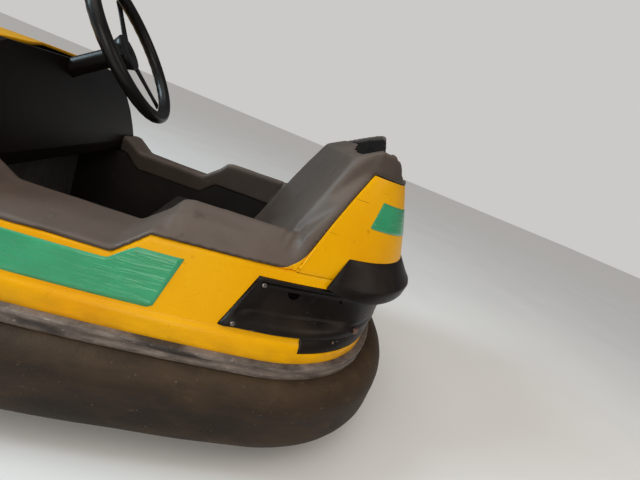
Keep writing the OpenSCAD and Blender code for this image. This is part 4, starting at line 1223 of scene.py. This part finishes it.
WHEELS = [("rear", "left", -540, 305, 50), ("rear", "right", -540, -305, 50),
          ("drive", "", 500, 0, 60)]
for kind, word, x, y, width in WHEELS:
    tail_word = "_" + word if word else ""
    body = "rear_wheel_" + word if word else "drive_wheel"
    turned(kind + "_tyre_skin" + tail_word, [tyre_profile(width / 2)], (x, y, WHEEL_R),
           (0, 1, 0), tyre_rubber, body, [kind + "_tyre" + tail_word], 48)
    if word:
        profiles = [rim_profile(width / 2 - 3, AXLE_R + 0.3)]
    else:
        profiles = [rim_profile(width / 2 - 3, AXLE_R), both_ends(AXLE_END)]
    turned(kind + "_rim_face" + tail_word, profiles, (x, y, WHEEL_R), (0, 1, 0), rim_steel,
           body, [kind + "_rim" + tail_word], 48,
           wheel_bolts(5, 44, 6.5, (width / 2 - 11, 11 - width / 2)))

# %% [markdown]
# ## Head lamps
# Each lamp is a chromed cup with a rolled bezel, a bowl behind the lens that throws the
# light back, and a lens of ribbed glass.

# %% Head lamps
for side, word in LEFT_AND_RIGHT:
    at = (879, side * 235, 352)
    turned("head_lamp_cup_" + word, [[
        (-70, 0.01), (-70, 50), (-68, 54), (-64, 55.5), (-7, 55.5), (-6, 59), (-4.5, 61), (-2, 62),
        (1, 61.6), (3.4, 60), (4, 57), (3.6, 54), (2, 51.5), (0.6, 50.2), (-9, 50), (-20, 46),
        (-34, 37), (-46, 24), (-53, 10), (-54, 0.01)]], at, (1, 0, 0), lamp_chrome,
        stands_for=["head_lamp_" + word])
    turned("head_lamp_glass_" + word, [[
        (-7, 0.01), (-7, 45), (-8, 49), (-1, 49.5), (0.2, 48.6), (1.2, 45.6), (4.4, 40), (9.5, 30),
        (12.9, 20), (14.85, 10), (15.4, 3), (15.5, 0.01)]], at, (1, 0, 0), lamp_glass,
        stands_for=["lamp_lens_" + word])

# %% [markdown]
# ## Steering wheel
# The rim is a thick ring with finger grips on the side that faces the dashboard. Three
# bent spokes run from a domed hub.

# %% Steering wheel
TILT = math.radians(90 + 36)
COLUMN = Vector((math.sin(TILT), 0, math.cos(TILT)))
WHEEL_AT = Vector((40, 0, 738))
SIDEWAYS = Vector((0, 1, 0))
OVER = COLUMN.cross(SIDEWAYS)
RIM_R, RIM_THICK, GRIPS, GRIP_DEEP = 178, 34.8, 36, 0.7
around, ring_n = 216, 20
points = []
for j, out in enumerate(spun(SIDEWAYS, OVER, 1, around)):
    for i in range(ring_n):
        b = 2 * math.pi * i / ring_n
        grip = max(math.sin(b), 0) * (0.5 - 0.5 * math.cos(GRIPS * 2 * math.pi * j / around))
        r = RIM_THICK / 2 - GRIP_DEEP * grip
        points.append(WHEEL_AT + out * (RIM_R + r * math.cos(b)) + COLUMN * r * math.sin(b))
mesh_piece("steering_ring", points, grid_faces(around, ring_n, True, True), gloss_black,
           "steering_wheel", ["steering_rim"])


def spokes(axis, first, second):
    made = []
    for out in spun(SIDEWAYS, OVER, 1, 3):
        wide = COLUMN.cross(out)
        corners = []
        for r, w, h in ((30, 17, 15), (50, 15.5, 13), (90, 13, 12.4), (130, 12.4, 12),
                        (163, 15, 11.5)):
            corners += [out * r + wide * s * w * t + COLUMN * (h + u)
                        for s, t, u in ((-1, 1, 3), (-1, 0.8, 0.2), (1, 0.8, 0.2), (1, 1, 3),
                                        (1, 0.8, 5), (-1, 0.8, 5))]
        ends = [tuple(range(6)), tuple(range(24, 30))]
        made.append((corners, grid_faces(5, 6, False, True) + ends))
    return made


turned("steering_hub", [[
    (9, 0.01), (8.2, 20), (8.4, 38), (10, 44), (14, 46), (24, 42), (38, 37), (42, 35), (42, 9.2),
    (20.5, 9.1), (20.5, 0.01)]], WHEEL_AT, COLUMN, gloss_black, "steering_wheel",
    ["steering_spider"], 48, spokes)

# %% [markdown]
# ## The seat cushion
# The seat is one upholstered cushion for two. It starts as the CAD solid, is remeshed and
# rounded, then pressed: two hollows where riders sit, a sewn groove between them, a seam
# along the front, and creases that run out from the groove.

# %% Seat cushion
RIDER_X, RIDER_Y, SEAM_X = -0.25, 0.17, -0.135


def cushion_push(at, normal):
    """Two hollows, a groove, a seam along the front and creases, on the top only."""
    x, y, z = at
    up = max(min((z - top_z + 0.03) / 0.03, 1), 0) * max(normal.z, 0)
    hollow = math.exp(-(((x - RIDER_X) / 0.10) ** 2 + ((abs(y) - RIDER_Y) / 0.12) ** 2))
    groove = math.exp(-(y / 0.006) ** 2)
    seam = math.exp(-((x - SEAM_X) / 0.005) ** 2)
    creases = math.sin(abs(y) * 150 + 9 * noise.noise(Vector((x * 9, y * 4, 0))))
    near = math.exp(-abs(y) / 0.05) * math.exp(-((x - RIDER_X) / 0.1) ** 2)
    push = up * (-0.006 * hollow - 0.006 * groove - 0.004 * seam + 0.0018 * near * creases)
    return push + 0.0012 * noise.noise(at * 22) + 0.001


seat = solid_of("seat_cushion_skin", [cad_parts["seat_cushion"].data], seat_skin)
melt(seat, "melt", 0.005)
round_off(seat, 10)
top_z = max(v.co.z for v in seat.data.vertices)
push_points(seat, cushion_push)
claim(seat, "body", ["seat_cushion"])
print("cushion of", len(seat.data.polygons), "quads")

# %% [markdown]
# ## The floor and the light
# The car stands on a plain pale floor under soft light: a large cool lamp from the front
# left, weak warm ones from the left and from behind, a wide sun overhead and a dim even
# sky. Only the camera sees that sky brighter, as a grey backdrop; the car doesn't.

# %% Floor, world and lamps
HALF = 60000
floor_mesh = mesh_of("studio_floor", [(-HALF, -HALF, 0), (HALF, -HALF, 0), (HALF, HALF, 0),
                                      (-HALF, HALF, 0)], [(0, 1, 2, 3)])
floor_finish = Finish("studio_floor", Roughness=0.8, Emission_Strength=0.03,
                      Emission_Color=(0.95, 0.94, 0.92, 1))
floor_finish.paint(floor_finish.patches(1.5, 0.3, 0.7), (0.84, 0.825, 0.80), (0.80, 0.785, 0.76))
floor_mesh.materials.append(floor_finish.material)
put("studio_floor", floor_mesh)

world = bpy.data.worlds.new("studio")
bpy.context.scene.world = world
world.use_nodes = True
tree = world.node_tree
sky = tree.nodes["Background"]
rays = add_node(tree, "ShaderNodeLightPath")
lit = mixed(tree, rays.outputs["Is Glossy Ray"], (0.21, 0.21, 0.215), (0.10, 0.10, 0.105))
tree.links.new(mixed(tree, rays.outputs["Is Camera Ray"], lit, (0.60, 0.59, 0.575)),
               sky.inputs["Color"])


def soft_lamp(name, place, target, size, power, colour):
    data = bpy.data.lights.new(name, "AREA")
    data.shape = "DISK"
    data.size = size
    data.energy = power
    data.color = colour
    lamp = put(name, data)
    lamp.location = place
    lamp.rotation_euler = (Vector(target) - Vector(place)).to_track_quat("-Z", "Y").to_euler()


soft_lamp("window", (4.2, 0.6, 3.1), (-0.5, 0, 0.45), 1.8, 165, (0.66, 0.88, 1))
soft_lamp("near", (-0.2, 3.2, 1.7), (-0.4, 0, 0.3), 1.8, 27, (1, 0.93, 0.84))
soft_lamp("back", (-2.6, 0.8, 2.2), (-0.6, 0, 0.4), 1.6, 10, (1, 0.88, 0.76))
sun_data = bpy.data.lights.new("overhead", "SUN")
sun_data.energy = 0.92
sun_data.color = (1, 0.97, 0.93)
sun_data.angle = math.radians(60)
put("overhead", sun_data).rotation_euler = (math.radians(-12), math.radians(16), 0)

# %% [markdown]
# ## Finishes on the frame's own parts
# Parts whose CAD shape is already right keep it and only get a finish. A short table
# pairs each one with its material.

# %% Finishes on CAD parts
CAD_FINISHES = [
    (dull_steel, ["chassis_frame", "steel_ring", "rear_axle", "head_bearing", "column_bracket",
                 "pedal", "steering_shaft", "drive_fork", "drive_motor"]),
    (black_moulding, ["dashboard", "column_tube"]),
    # painted shade in part: the cockpit liners and seat box take the near-black lining
    (lining_and_painted_shade, ["liner_left", "liner_right", "seat_box"]),
    (worn_floor, ["floor_pan"])]
for finish, names in CAD_FINISHES:
    for name in names:
        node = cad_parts[name]
        if not node.material_slots:
            node.data.materials.append(finish.material)
        for spot in node.material_slots:
            spot.material = finish.material
    print("finished", *names)
